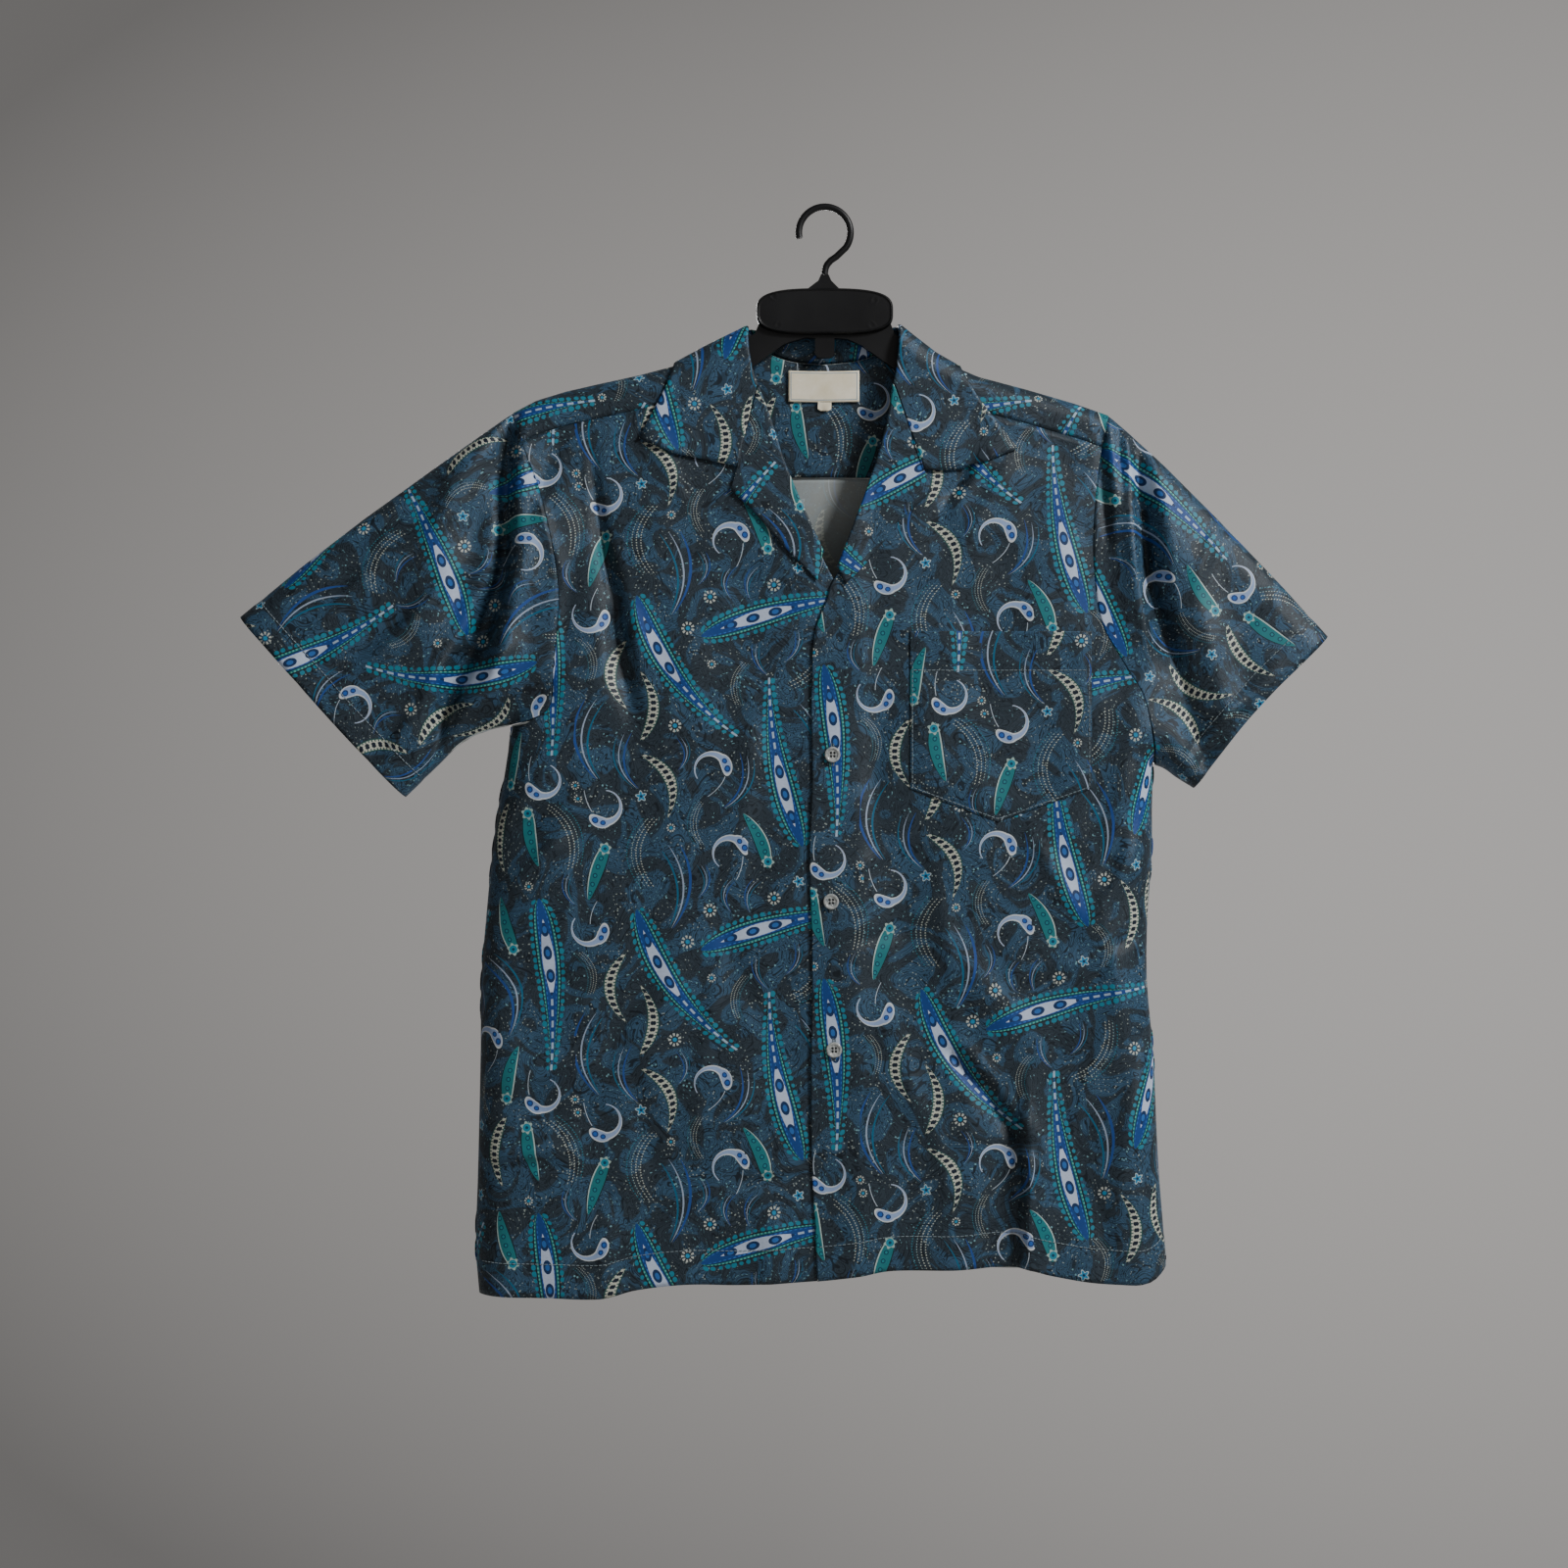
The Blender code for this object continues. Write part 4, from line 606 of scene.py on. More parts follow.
# Light filament rayon, plain woven and screen printed: a satin sheen on the threads, with the
# print's colours dulled and greyed on the wrong side. Dye takes unevenly on the threads. The map
# counts in 100 mm: clouds are about 40 mm, specks 3 mm. The contour lines are 3 mm apart on the real
# cloth, and 5 mm here so that they show. The weave is drawn at 0.9 mm a thread, for 0.35 mm.
RIGHT_SIDE, WRONG_SIDE = (
    make_material(name, (("clouds", 2.4, 2.0, 2.2), ("rings", 2.9, 2.0, 2.0), ("drift", 3.4, 1.0, 0.0),
                         ("wear", 60.0, 2.0, 0.0), ("slub", 9.0, 4.0, 0.0)), "#2c3841", LAYERS + greyed,
                  ("sine(u * 698) * sine(v * 698) * 0.5 + slub * 2.5", 0.28, 0.0004),
                  (("Cloth", "u v"), ("Motif", "p q"), ("Kind", "kind bend")), FORMULAS, Roughness=roughness,
                  Specular_IOR_Level=0.25, Sheen_Weight=0.04, Sheen_Roughness=0.35, Sheen_Tint="#9fb6cc")
    for name, greyed, roughness in (("printed rayon", "", 0.42),
                                    ("printed rayon, wrong side", "#b3b8b5 0.6", 0.7)))


def quads(grid):
    """The four corners of each quad of a grid."""
    corners = np.stack([grid[:-1, :-1], grid[:-1, 1:], grid[1:, 1:], grid[1:, :-1]], axis=2)
    return corners.reshape(-1, 4, *grid.shape[2:])


def grid_faces(places, closed=False):
    """The quads of a grid of places, as numbers in its flat list; a closed grid wraps its columns."""
    index = np.arange(places[..., 0].size).reshape(places.shape[:2])
    return quads(np.concatenate([index, index[:, :1]], axis=1) if closed else index)


def make_piece(name, node, verts, faces, materials, merge=0, outward=False, uvs=(), second=None,
               wall=0, smooth=True):
    """A mesh of places in mm that rides on the root and takes a node's place. Places nearer than merge
    become one, uvs are maps by face corner, second marks the faces in the second material, and wall is
    the thickness of a shell inwards."""
    mesh = bpy.data.meshes.new(name)
    mesh.from_pydata((verts.reshape(-1, 3) * 0.001).tolist(), [], faces)
    for layer, values in uvs:
        flat = np.ascontiguousarray(values, dtype=np.float32).ravel()
        mesh.uv_layers.new(name=layer).data.foreach_set("uv", flat)
    if second is not None:
        mesh.polygons.foreach_set("material_index", second.astype(np.int32))
    if merge:
        work = bmesh.new()
        work.from_mesh(mesh)
        bmesh.ops.remove_doubles(work, verts=work.verts, dist=merge * 0.001)
        if outward:
            bmesh.ops.recalc_face_normals(work, faces=work.faces)
        work.to_mesh(mesh)
        work.free()
    made = bpy.data.objects.new(name, mesh)
    for each in materials:
        mesh.materials.append(each)
    bpy.context.scene.collection.objects.link(made)
    if smooth:
        mesh.shade_smooth()
    if wall:
        shell = made.modifiers.new("wall", "SOLIDIFY")
        shell.thickness, shell.offset, shell.material_offset = wall * 0.001, -1, len(materials) - 1
    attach(made, "root")
    if node:
        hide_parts(node)
    return made


CUTS = []


def make_cloth(node, form, parts, behind=False, wall=CLOTH, inside=WRONG_SIDE):
    """A printed panel from grids of places, each with the same places in its flat cut; a tube's cut has
    one column more. The face that lies furthest out settles the winding."""
    verts = np.concatenate([places.reshape(-1, 3) for places, cloth in parts])
    corners = np.concatenate([quads(cloth) for places, cloth in parts])
    starts = np.cumsum([0] + [places[..., 0].size for places, cloth in parts])
    faces = np.concatenate([grid_faces(places, cloth.shape[1] > places.shape[1]) + start
                            for (places, cloth), start in zip(parts, starts)])
    toward = 1 if behind else -1
    f = faces[np.argmax(verts[faces].mean(axis=1)[:, 1] * toward)]
    if np.cross(verts[f[2]] - verts[f[0]], verts[f[3]] - verts[f[1]])[1] * toward < 0:
        faces, corners = faces[:, ::-1], corners[:, ::-1]
    local, kinds = motif_maps(corners)
    made = make_piece(f"{node}_{form}", node, verts, faces.tolist(), (RIGHT_SIDE, inside),
                      merge=0.01, uvs=(("Cloth", corners / 100), ("Motif", local), ("Kind", kinds)),
                      wall=wall)
    a, b, c, d = (verts[faces[:, i]] for i in range(4))
    area = float(np.linalg.norm(np.cross(c - a, d - b), axis=1).sum() / 2) * 1e-6
    size = np.ptp(corners.reshape(-1, 2), axis=0) * 0.001
    # The flat size is the box round the cut, grown where that box would hold less than the cloth's area.
    size = size * max(1.0, math.sqrt(area / (0.99 * size[0] * size[1])))
    CUTS.append((node, [round(float(s), 3) for s in size], round(area, 4)))


def hem_dip(up, width):
    """The turned hem: a line of stitches sinks in, and the turn below it stands a little proud."""
    return 0.4 * (1 - ramp(up, width - 3, width + 3)) - 0.55 * np.exp(-((up - width) / 3) ** 2)


def make_body(node, edges, head_z, hem, v, face, shift, share, raised=np.zeros_like):
    """A body panel between its two edges, from the height of its head seam down to the turned hem."""
    first, last = edges
    head_x, foot_x = (first[i, 0] + (last[i, 0] - first[i, 0]) * share for i in (0, -1))
    foot = pair(foot_x, curve(*hem, foot_x))
    foot[0], foot[-1] = first[-1], last[-1]
    grid = patch(first, last, pair(head_x, head_z(head_x)), foot, share, v)
    grid[0, :, 1] -= SEAM
    x, z = grid[..., 0], grid[..., 1]
    places = skin(x, drop(x, z, face), hem_dip(z - curve(*hem, x), HEM_TURN))
    places[..., 1] -= raised(x)
    make_cloth(node, "panel", [(places, body_cloth(x, z, shift))], face > 0)


edges = [outer_edge(side, 1) for side in ("left", "right")]
make_body("back", edges, lambda x: 0 * x + YOKE_BACK_Z, HEM_BACK,
          (rows_of(edges[0]) + rows_of(edges[1])) / 2, 1, (40, 20), edge_shares(505))

# ---------------------------------------------------------------- yoke
# The piece over the shoulders, from the back seam to a seam just in front of the shoulder line:
# a middle block below the neck seam and a wing over each shoulder, which rests on the hanger's arm.
# ROLL runs from the middle of the back to the gorge: x and w of the turned edge, how far under it the
# neck seam lies, x and w of a bend in the leaf, and x and w of its free edge. LAPEL runs on to the
# opening's foot, with the turned edge and the free edge.
ROLL = {
    "left": table("""
0 8 20 0 36 0 64, -26 7 18 -30 36 -38 63, -46 4.5 12 -58 30 -77 54, -56 2 8 -76 13 -103 26,
-58.5 0 6 -84 0 -115 0, -58.5 -16 4.2 -86 -18 -123 -17, -55.5 -34 2.8 -80 -50 -133 -34,
-51 -48 2.2 -67 -105 -142.5 -51"""),
    "right": table("""
0 8 20 0 36 0 64, 26 7 18 30 36 38 63, 45 4.5 12 56 30 74 54, 53.5 2 8 73 13 95 26, 56 0 6 80 0 103 0,
56.5 -16 4.2 84 -18 117 -17, 55 -34 2.8 85 -50 133 -34, 52 -48 2.2 76 -97 148 -50"""),
}
LAPEL = {
    "left": table("""
-51 -48 -67 -105, -43 -69 -72.5 -120.5, -31.5 -105 -52 -149, -19 -136 -33 -171, -7 -163 -17 -188,
-0.5 -177 -6 -199"""),
    "right": table("""
52 -48 76 -97, 48.5 -72 82 -109, 41 -101 62 -144, 31 -131 46 -169, 19.5 -161 30 -188, 8.6 -189 15 -203"""),
}


def bend_way(x, w, side):
    """The way from the fold to under the panel's edge, square to the fold."""
    dx, dw = np.gradient(x), np.gradient(w)
    length = np.hypot(dx, dw)
    turn = 1 if side == "left" else -1
    return turn * dw / length, -turn * dx / length


def roll_rows(side, at):
    """A side's roll, each column read at shares of the way from the middle of the back."""
    t = np.linspace(0, 1, len(ROLL[side][0]))
    return [curve(t, column, at) for column in ROLL[side]]


def neck(side):
    """The neck seam as (x, w) rows, from the middle of the back to the gorge and on down the roll."""
    fx, fw, seam = roll_rows(side, np.linspace(0, 1, 57))[:3]
    dx, dw = bend_way(fx, fw, side)
    seam = np.maximum(seam, 2.05) + 1.3
    low = LAPEL[side][:2]
    lx, lw = along(low, np.linspace(6, run_of(*low)[-1], 24))
    ex, ew = bend_way(lx, lw, side)
    return (np.concatenate([fx + dx * seam, lx + ex * 3.35]),
            np.concatenate([fw + dw * seam, lw + ew * 3.35]))


def seam_dip(x, w):
    """The yoke's seams, at its back edge and its front one, draw the cloth in by 0.2 mm."""
    off = np.minimum(np.abs(top(x) - w - YOKE_BACK_Z), np.abs(w + YOKE_FRONT_DROP))
    return -0.2 * np.exp(-(off / 1.5) ** 2)


FRONT_SHARE = edge_shares(235, both=False)
parts, corner = [], {}
for side in ("left", "right"):
    nx, nw = neck(side)
    k = int(np.argmax(nw <= 0))
    t = nw[k - 1] / (nw[k - 1] - nw[k])
    corner[side] = (nx, nw, float(nx[k - 1] + t * (nx[k] - nx[k - 1])))
neck_low = float(drop(np.array(-60.0), np.array(YOKE_BACK_Z), 1))
share_w = np.concatenate([np.linspace(neck_low, NEAR_SHOULDER[-1], 15)[:-1], NEAR_SHOULDER[::-1]]) / neck_low
xl, xr = corner["left"][2], corner["right"][2]
cols = xl + (xr - xl) * (1 - np.cos(np.linspace(0, math.pi, 37))) / 2
back_x = np.concatenate([corner["left"][0][::-1], corner["right"][0][1:]])
back_w = np.concatenate([corner["left"][1][::-1], corner["right"][1][1:]])
on_back = back_w >= -0.01
high = np.interp(cols, back_x[on_back], back_w[on_back])
high[0] = high[-1] = 0.0
low = drop(cols, np.full_like(cols, YOKE_BACK_Z), 1)
parts.append((np.broadcast_to(cols, (27, 37)), high + (low - high) * share_w[:, None]))
for side in ("left", "right"):
    places, k = armhole(side, 1)
    ax, aw = places[k:, 0], drop(places[k:, 0], places[k:, 1], 1)
    x0, share = corner[side][2], FRONT_SHARE
    wing_x = x0 + (ax[:, None] - x0) * share
    low_w = drop(wing_x[0], np.full_like(wing_x[0], YOKE_BACK_Z), 1)
    straight = low_w[0] * share_w[:, None] + share * (aw[:, None] - low_w[0] * share_w[:, None])
    t = np.clip((1 - share_w) / (1 - share_w[14]), 0, 1)[:, None]
    wing_w = low_w * (1 - t) + straight[14] * t
    wing_w = wing_w + share * (aw[:, None] - wing_w[:, -1:])
    wing_w[14:] = straight[14:]
    front, k = armhole(side, -1)
    fx, fw = front[k:, 0][::-1][1:], drop(front[k:, 0], front[k:, 1], -1)[::-1][1:]
    nx, nw, _ = corner[side]
    w0 = -YOKE_FRONT_DROP * fw / fw[-1]
    xn = np.interp(-w0, -np.concatenate([[0], nw[nw <= 0]]), np.concatenate([[x0], nx[nw <= 0]]))
    wing_x = np.concatenate([wing_x, xn[:, None] + (fx - xn)[:, None] * share])
    wing_w = np.concatenate([wing_w, w0[:, None] + (fw - w0)[:, None] * share])
    parts.append((wing_x, wing_w) if side == "right" else (wing_x[:, ::-1], wing_w[:, ::-1]))
make_cloth("yoke", "panel", [(skin(x, w, seam_dip(x, w)), over_cloth(x, w, (210, 90))) for x, w in parts],
           True)

# ---------------------------------------------------------------- inner yoke
# A second yoke of the same rayon inside the first, sewn in with it round the neck and across the
# back, its printed side to the wearer. This is the part of it behind the neck opening.
INNER_YOKE_IN = 2.6
shown = back_w > 11
cols = np.linspace(back_x[shown][0], back_x[shown][-1], 31)
top_w = np.interp(cols, back_x[shown], back_w[shown]) + 0.5
low = drop(cols, np.full_like(cols, YOKE_BACK_Z + 0.5), 1)
w = top_w + (low - top_w) * np.linspace(0, 1, 25)[:, None]
x = np.broadcast_to(cols, w.shape)
make_cloth("yoke_lining", "panel", [(skin(x, w, -INNER_YOKE_IN), pair(x + 130, -w + 75))])

# ---------------------------------------------------------------- fronts
# Two fronts cut in one with their facings: each edge is a fold of cloth, the photo's right one
# lying over the other by a button's width. The hem is turned up 26 mm and stitched.
UNDERLAP_X, OVERLAP_X = 17.0, -6.0
# z and x down the over front's edge.
OVER_EDGE = table("""
-281 6, -301 2, -324 -7, -369 -10.5, -444 -10, -496 -12, -578 -10, -669 -11, -744 -10, -814 -6, -830 -6""")


def lift(x):
    """The over front stands out over the under front."""
    return 1.95 * (1 - ramp(x, 23, 40))


for side, name, stop_x, shift, lifted in (("left", "front_under", UNDERLAP_X, (0, 0), np.zeros_like),
                                          ("right", "front_over", OVERLAP_X, (118, 61), lift)):
    outer = outer_edge(side, -1)
    v = rows_of(outer)
    hem_z = float(curve(*HEM, stop_x))
    nx, nw, _ = corner[side]
    keep = nw < -YOKE_FRONT_DROP - 1
    k = int(np.argmax(nw <= 0))
    start = float(np.interp(YOKE_FRONT_DROP, -nw[k - 1:k + 40], nx[k - 1:k + 40]))
    nx = np.concatenate([[start], nx[keep]])
    nz = top(nx) - np.concatenate([[YOKE_FRONT_DROP], -nw[keep]])
    if side == "left":
        line = [(14.0, -302.0), (UNDERLAP_X, -330.0), (UNDERLAP_X, hem_z)]
    else:
        at = np.append(spaced(-292, -744, 8), -780)
        line = list(zip(curve(*OVER_EDGE, at), at)) + [(stop_x, hem_z)]
    xs, zs = np.concatenate([nx, [p[0] for p in line]]), np.concatenate([nz, [p[1] for p in line]])
    at = zs[0] + v * (zs[-1] - zs[0])
    inner = pair(np.interp(-at, -zs, xs), at)
    make_body(name, (inner, outer), lambda x: top(x) - YOKE_FRONT_DROP, HEM, v, -1, shift,
              FRONT_SHARE, lifted)

# ---------------------------------------------------------------- lapels and collar
# The facings turn back on themselves as lapels, and a one-piece collar is sewn on from gorge to
# gorge. Both are rolled, not pressed: the cloth comes up from the seam, turns and lies a little clear.
COLLAR_RISE = 2.7
LAPEL_RISE = 2.3


def rolled(fold, way, seam, bend, edge, rise, extra, steps):
    """Sections of cloth: a short leg from the seam, a half circle over the fold, then the leaf, in
    straight runs from the fold by way of the bend to the edge. Gives places and their (x, w)."""
    (fx, fw), (dx, dw) = fold, way
    turn_r, middle = (rise + CLOTH) / 2, (rise - CLOTH) / 2
    spots = []
    if seam.max() > turn_r + 1:
        for t in (1.0, 0.75, 0.5, 0.25):
            run = np.maximum(seam, turn_r) * t + turn_r * (1 - t)
            spots.append((fx + dx * run, fw + dw * run, np.full_like(fx, -CLOTH)))
    for a in np.radians(np.linspace(270, 90, 11)):
        run = turn_r * (1 + math.cos(a))
        spots.append((fx + dx * run, fw + dw * run, np.full_like(fx, middle + turn_r * math.sin(a))))
    start = spots[-1][:2]
    bend = bend or [(s + e) / 2 for s, e in zip(start, edge)]
    for t in np.linspace(0, 2, steps + 1)[1:]:
        leaf = (s + (b - s) * t if t <= 1 else b + (e - b) * (t - 1) for s, b, e in zip(start, bend, edge))
        spots.append((*leaf, np.full_like(fx, rise)))
    x, w, out = (np.array([spot[i] for spot in spots]) for i in range(3))
    return skin(x, w, out + extra(x)), x, w


for side in ("left", "right"):
    rows = LAPEL[side]
    run = run_of(*rows[:2])
    t = run / run[-1]
    at = np.unique(np.concatenate([np.linspace(a, b, 9) for a, b in zip(t[:-1], t[1:])]).round(9))
    fx, fw = along(rows[:2], at * run[-1])
    edge = [np.interp(at, t, column) for column in rows[2:]]
    gx, gw = edge[0][0] - fx[0], edge[1][0] - fw[0]
    turn = 1 if side == "left" else -1
    off = np.array([-turn * gw, turn * gx]) / math.hypot(gx, gw) * 0.7
    fx[0], fw[0] = fx[0] + off[0], fw[0] + off[1]
    edge[0][0], edge[1][0] = edge[0][0] + off[0], edge[1][0] + off[1]
    places, x, w = rolled((fx, fw), bend_way(fx, fw, side), np.full(len(at), 1.0), None, edge, LAPEL_RISE,
                          lift if side == "right" else np.zeros_like, 14)
    c, s = math.cos(0.2), math.sin(0.2) * turn
    flat_z = top(x) + w
    cloth = pair(x * c - flat_z * s + 70 * turn, x * s + flat_z * c + 140)
    make_cloth(f"lapel_{side}", "leaf", [(places, cloth)],
               inside=RIGHT_SIDE)

near_shoulder = 4 / 7 + np.array([-14, -9, -5, -2, 0, 2, 5, 9, 14]) / 1000
at = np.unique(np.concatenate([np.linspace(0, 1, 71), near_shoulder]))
halves = []
for side in ("left", "right"):
    roll = roll_rows(side, at)
    way = bend_way(*roll[:2], side)
    way[0][0], way[1][0] = 0.0, 1.0
    halves.append(rolled(roll[:2], way, roll[2], roll[3:5], roll[5:], COLLAR_RISE, np.zeros_like, 24))
places, x, w = (np.concatenate([a[:, ::-1], b[:, 1:]], axis=1) for a, b in zip(*halves))
make_cloth("collar", "leaf", [(places, over_cloth(x, w, (96, 176)))], inside=RIGHT_SIDE)

# ---------------------------------------------------------------- sleeves
# Short sleeves of the same rayon, set in flat at the armhole and seamed under the arm: each is one
# tube of cloth, with a hem turned 20 mm and stitched.
CUFF = {"left": table("-324 -454, -352 -425, -388 -386, -421 -349, -451.5 -315"),
        "right": table("285 -447, 317 -404, 345 -372.5, 366 -352, 388.5 -330")}
for side, turn, shift in (("left", -1, (30, 40)), ("right", 1, (150, 200))):
    front, back = armhole(side, -1)[0], armhole(side, 1)[0]
    under_rows, cuff_rows = UNDER[side][:, :-1], CUFF[side]
    share = np.linspace(0, 1, 61)
    under = pair(*along(under_rows, share * run_of(*under_rows)[-1]))
    over_x = front[-1, 0] + (cuff_rows[0, -1] - front[-1, 0]) * share
    over = pair(over_x, top(over_x))
    ax, az = front[-1]
    way = cuff_rows[:, -1] - front[-1]
    way /= np.linalg.norm(way)
    tubes = []
    for face, seam in ((-1, front), (1, back)):
        run = run_of(seam[:, 0], seam[:, 1])
        v = run / run[-1]
        spread = 0.5 - 0.5 * np.cos(np.pi * (0.12 + 0.76 * v))
        spread = (spread - spread[0]) / (spread[-1] - spread[0])
        cuff = pair(*along(cuff_rows, (0.5 * v + 0.5 * spread) * run_of(*cuff_rows)[-1]))
        drops = drop(seam[:, 0], seam[:, 1], face)
        dx, dw = np.gradient(seam[:, 0]), np.gradient(drops)
        gap = (SEAM + 1.3 * (1 - ramp(run, 10, 45))) / np.hypot(dx, dw) * turn * -face
        near_x, near_w = seam[:, 0] + dw * gap, drops - dx * gap
        near = pair(near_x, top(near_x) - np.abs(near_w))
        grid = patch(near, cuff, under, over, share, v)
        x, z = grid[..., 0], grid[..., 1]
        from_top = ((x - ax) * way[1] - (z - az) * way[0]) * turn
        over_top = SHOULDER_REACH * (math.pi / 2 - 1) - excess(to_lines(x, z, *SHOULDERS), SHOULDER_REACH)
        around = from_top + over_top + excess(to_lines(x, z, *SIDE_LINES), SIDE_REACH)
        down = (x - ax) * way[0] + (z - az) * way[1]
        tubes.append((x, drop(x, z, face), pair(face * around + shift[0], -down + shift[1])))
    (x1, w1, c1), (x2, w2, c2) = tubes
    x, w = np.concatenate([x1, x2[::-1][1:-1]]), np.concatenate([w1, w2[::-1][1:-1]])
    cloth = np.concatenate([c1, c2[::-1][1:]])
    n = len(x1)
    w[n - 1] = 0.0
    to_cuff = to_lines(x, top(x) - np.abs(w), cuff_rows.T)
    places = skin(x, w, hem_dip(to_cuff, CUFF_TURN) - 0.4 * np.exp(-(share * 200 / 2.5) ** 2))
    places[0, :, 1] = places[n - 1, :, 1] = 0.0
    make_cloth(f"sleeve_{side}", "tube", [(places.swapaxes(0, 1), cloth.swapaxes(0, 1))])

# ---------------------------------------------------------------- pocket
# A patch pocket with a pointed foot, of the same rayon, sewn on by its sides and its foot; its mouth
# is a 30 mm hem, a little proud.
POCKET_LEFT, POCKET_RIGHT, POCKET_TOP, POCKET_HEM = 65.0, 204.0, -327.0, -357.0
POCKET_CORNER, POCKET_POINT_X, POCKET_POINT_Z = -447.5, 132.0, -473.0


def pocket_foot(x, rise=0.0, inset=0.0):
    """Height of the pocket's pointed foot, moved up by rise, and by rise and inset at the point."""
    return np.interp(x, [POCKET_LEFT, POCKET_POINT_X, POCKET_RIGHT],
                     [POCKET_CORNER + rise, POCKET_POINT_Z + rise + inset, POCKET_CORNER + rise])


cols = np.unique(np.concatenate([[POCKET_LEFT + 1, POCKET_RIGHT - 1], spaced(POCKET_LEFT, POCKET_POINT_X, 3),
                                 spaced(POCKET_POINT_X, POCKET_RIGHT, 3)]))
low = pocket_foot(cols)
share = np.unique(np.concatenate([[0.008, 0.992], np.linspace(0, 1, 48)]))
z = POCKET_TOP + (low - POCKET_TOP) * share[:, None]
x = np.broadcast_to(cols, z.shape)
edge_off = np.minimum(np.minimum(x - POCKET_LEFT, POCKET_RIGHT - x), z - low)
out = (0.7 + 0.8 * ramp(edge_off, 0, 9) + 0.5 * ramp(z, -370, -330)
       - 0.3 * np.exp(-((z - POCKET_HEM) / 1.6) ** 2))
make_cloth("pocket", "patch", [(skin(x, drop(x, z, -1), out), pair(x + 25, z + 175))],
           wall=0.6)

# ---------------------------------------------------------------- label and size tab
# A neck label and the tab below it, of cream cotton tape, sewn to the inner yoke. The tape is woven
# with ribs 0.6 mm apart, warmed and soiled in patches, and has a plain blue border 2 mm inside the
# label's edge.
cotton = make_material(
    "woven cotton tape", (("soil", 90.0, 3.0, 0.0), ("slub", 500.0, 2.0, 0.0)), "#faf4e2", """
#decfa9 soil * 1.1 - 0.2 + slub * 0.2
#7f97a6 (abs(across - 0.0256) < 0.0003) * (up < 0.0106)
#7f97a6 (abs(up - 0.0103) < 0.0003) * (across < 0.0259)
""", ("sine(z * 10472) * 0.6 + sine(x * 7854) * 0.4 + slub", 0.5, 0.0003), steps="""
across = abs(x + 0.0005)
up = abs(z - x * x * 0.8 + 0.1356)
""", Roughness=0.75)
LABEL_IN = 4.6
for name, node, left, right, high, low, bow, corner_cut in (
        ("label_tape", "label", -28.0, 27.0, -123.0, -147.0, 1.2, 0.0),
        ("size_tab_tape", "size_tab", -5.25, 5.25, -147.4, -154.0, 0.3, 1.5)):
    u, v = np.meshgrid(np.linspace(-1, 1, 33), np.linspace(0, 1, 17))
    x = (left + right) / 2 + u * (right - left) / 2
    z = high + (low - high) * v - bow * (1 - u * u) * (1 - v * 0.4) * 0.5
    z = z + corner_cut * np.maximum(np.abs(u) - 0.6, 0) / 0.4 * v
    places = skin(x, drop(x, z, 1), -LABEL_IN - 0.5 * np.sin(u * 3.1) * v)
    faces = grid_faces(places)[:, (0, 3, 2, 1)]
    make_piece(name, node, places, faces.tolist(), (cotton,), wall=0.5)

# ---------------------------------------------------------------- buttons
# Turned pearl shell, grey with a cloudy lustre: a dished face with four holes. Each is sewn to the
# front beneath with dark thread, and stands in an upright buttonhole of the front above.
BUTTONS = ((5.6, -421.6), (4.5, -533.8), (6.75, -647.0))
BUTTON_R, BUTTON_T, HOLE_OUT = 5.95, 2.6, 1.75
pearl = make_material("grey pearl shell", (("cloud", 260.0, 3.0, 1.5),), "#6c7377",
                      "#b9bab5 cloud * 2 - 0.5", Roughness="cloud * 0.2 + 0.12", Coat_Weight=0.4)
# Two-ply cotton, mercerised, with a soft lustre; the lighter colour laid on by the ply noise is a painted
# highlight, for light caught where the plies turn up.
thread, dark_thread = (
    # The second, lighter colour of each thread is painted highlight on the ply crests, laid on by the ply
    # noise.
    make_material(name, (("ply", 900.0, 2.0, 0.0),), dark, f"{light} ply", ("ply", 0.4, 0.0002),
                  Roughness=0.55)
    for name, dark, light in (("mercerised cotton thread", "#5f6e77", "#8a979c"),
                              ("dark cotton thread", "#101418", "#232a30")))


def sew(name, lines, wide=0.65, rise=0.4, made_of=thread):
    """Stitches: each line gives the places where they start and end and the cloth's normal there,
    and each stitch is a bar tapered to both ends, with four sides."""
    a, b, up = (np.concatenate([line[i] for line in lines]) for i in range(3))
    run = b - a
    length = np.linalg.norm(run, axis=1, keepdims=True)
    across = np.cross(run / length, up)
    ring = np.stack([across * wide / 2, up * rise, -across * wide / 2, -up * 0.2], axis=1)
    a, b, run = a[:, None], b[:, None], run[:, None]
    verts = np.concatenate([a, a + run * 0.18 + ring, b - run * 0.18 + ring, b], axis=1)
    i, j = np.arange(4), (np.arange(4) + 1) % 4
    base = np.arange(len(a))[:, None, None] * 10
    ends = np.concatenate([np.stack([0 * i, 1 + i, 1 + j], -1), np.stack([0 * i + 9, 5 + j, 5 + i], -1)])
    sides = np.stack([1 + i, 5 + i, 5 + j, 1 + j], -1)
    faces = (base + ends).reshape(-1, 3).tolist() + (base + sides).reshape(-1, 4).tolist()
    make_piece(name, None, verts, faces, (made_of,), smooth=False)


def front_face(x, z):
    """A place on the over front's outer face."""
    x, z = np.asarray(x, float), np.asarray(z, float)
    places = skin(x, drop(x, z, -1))
    places[..., 1] -= lift(x)
    return places


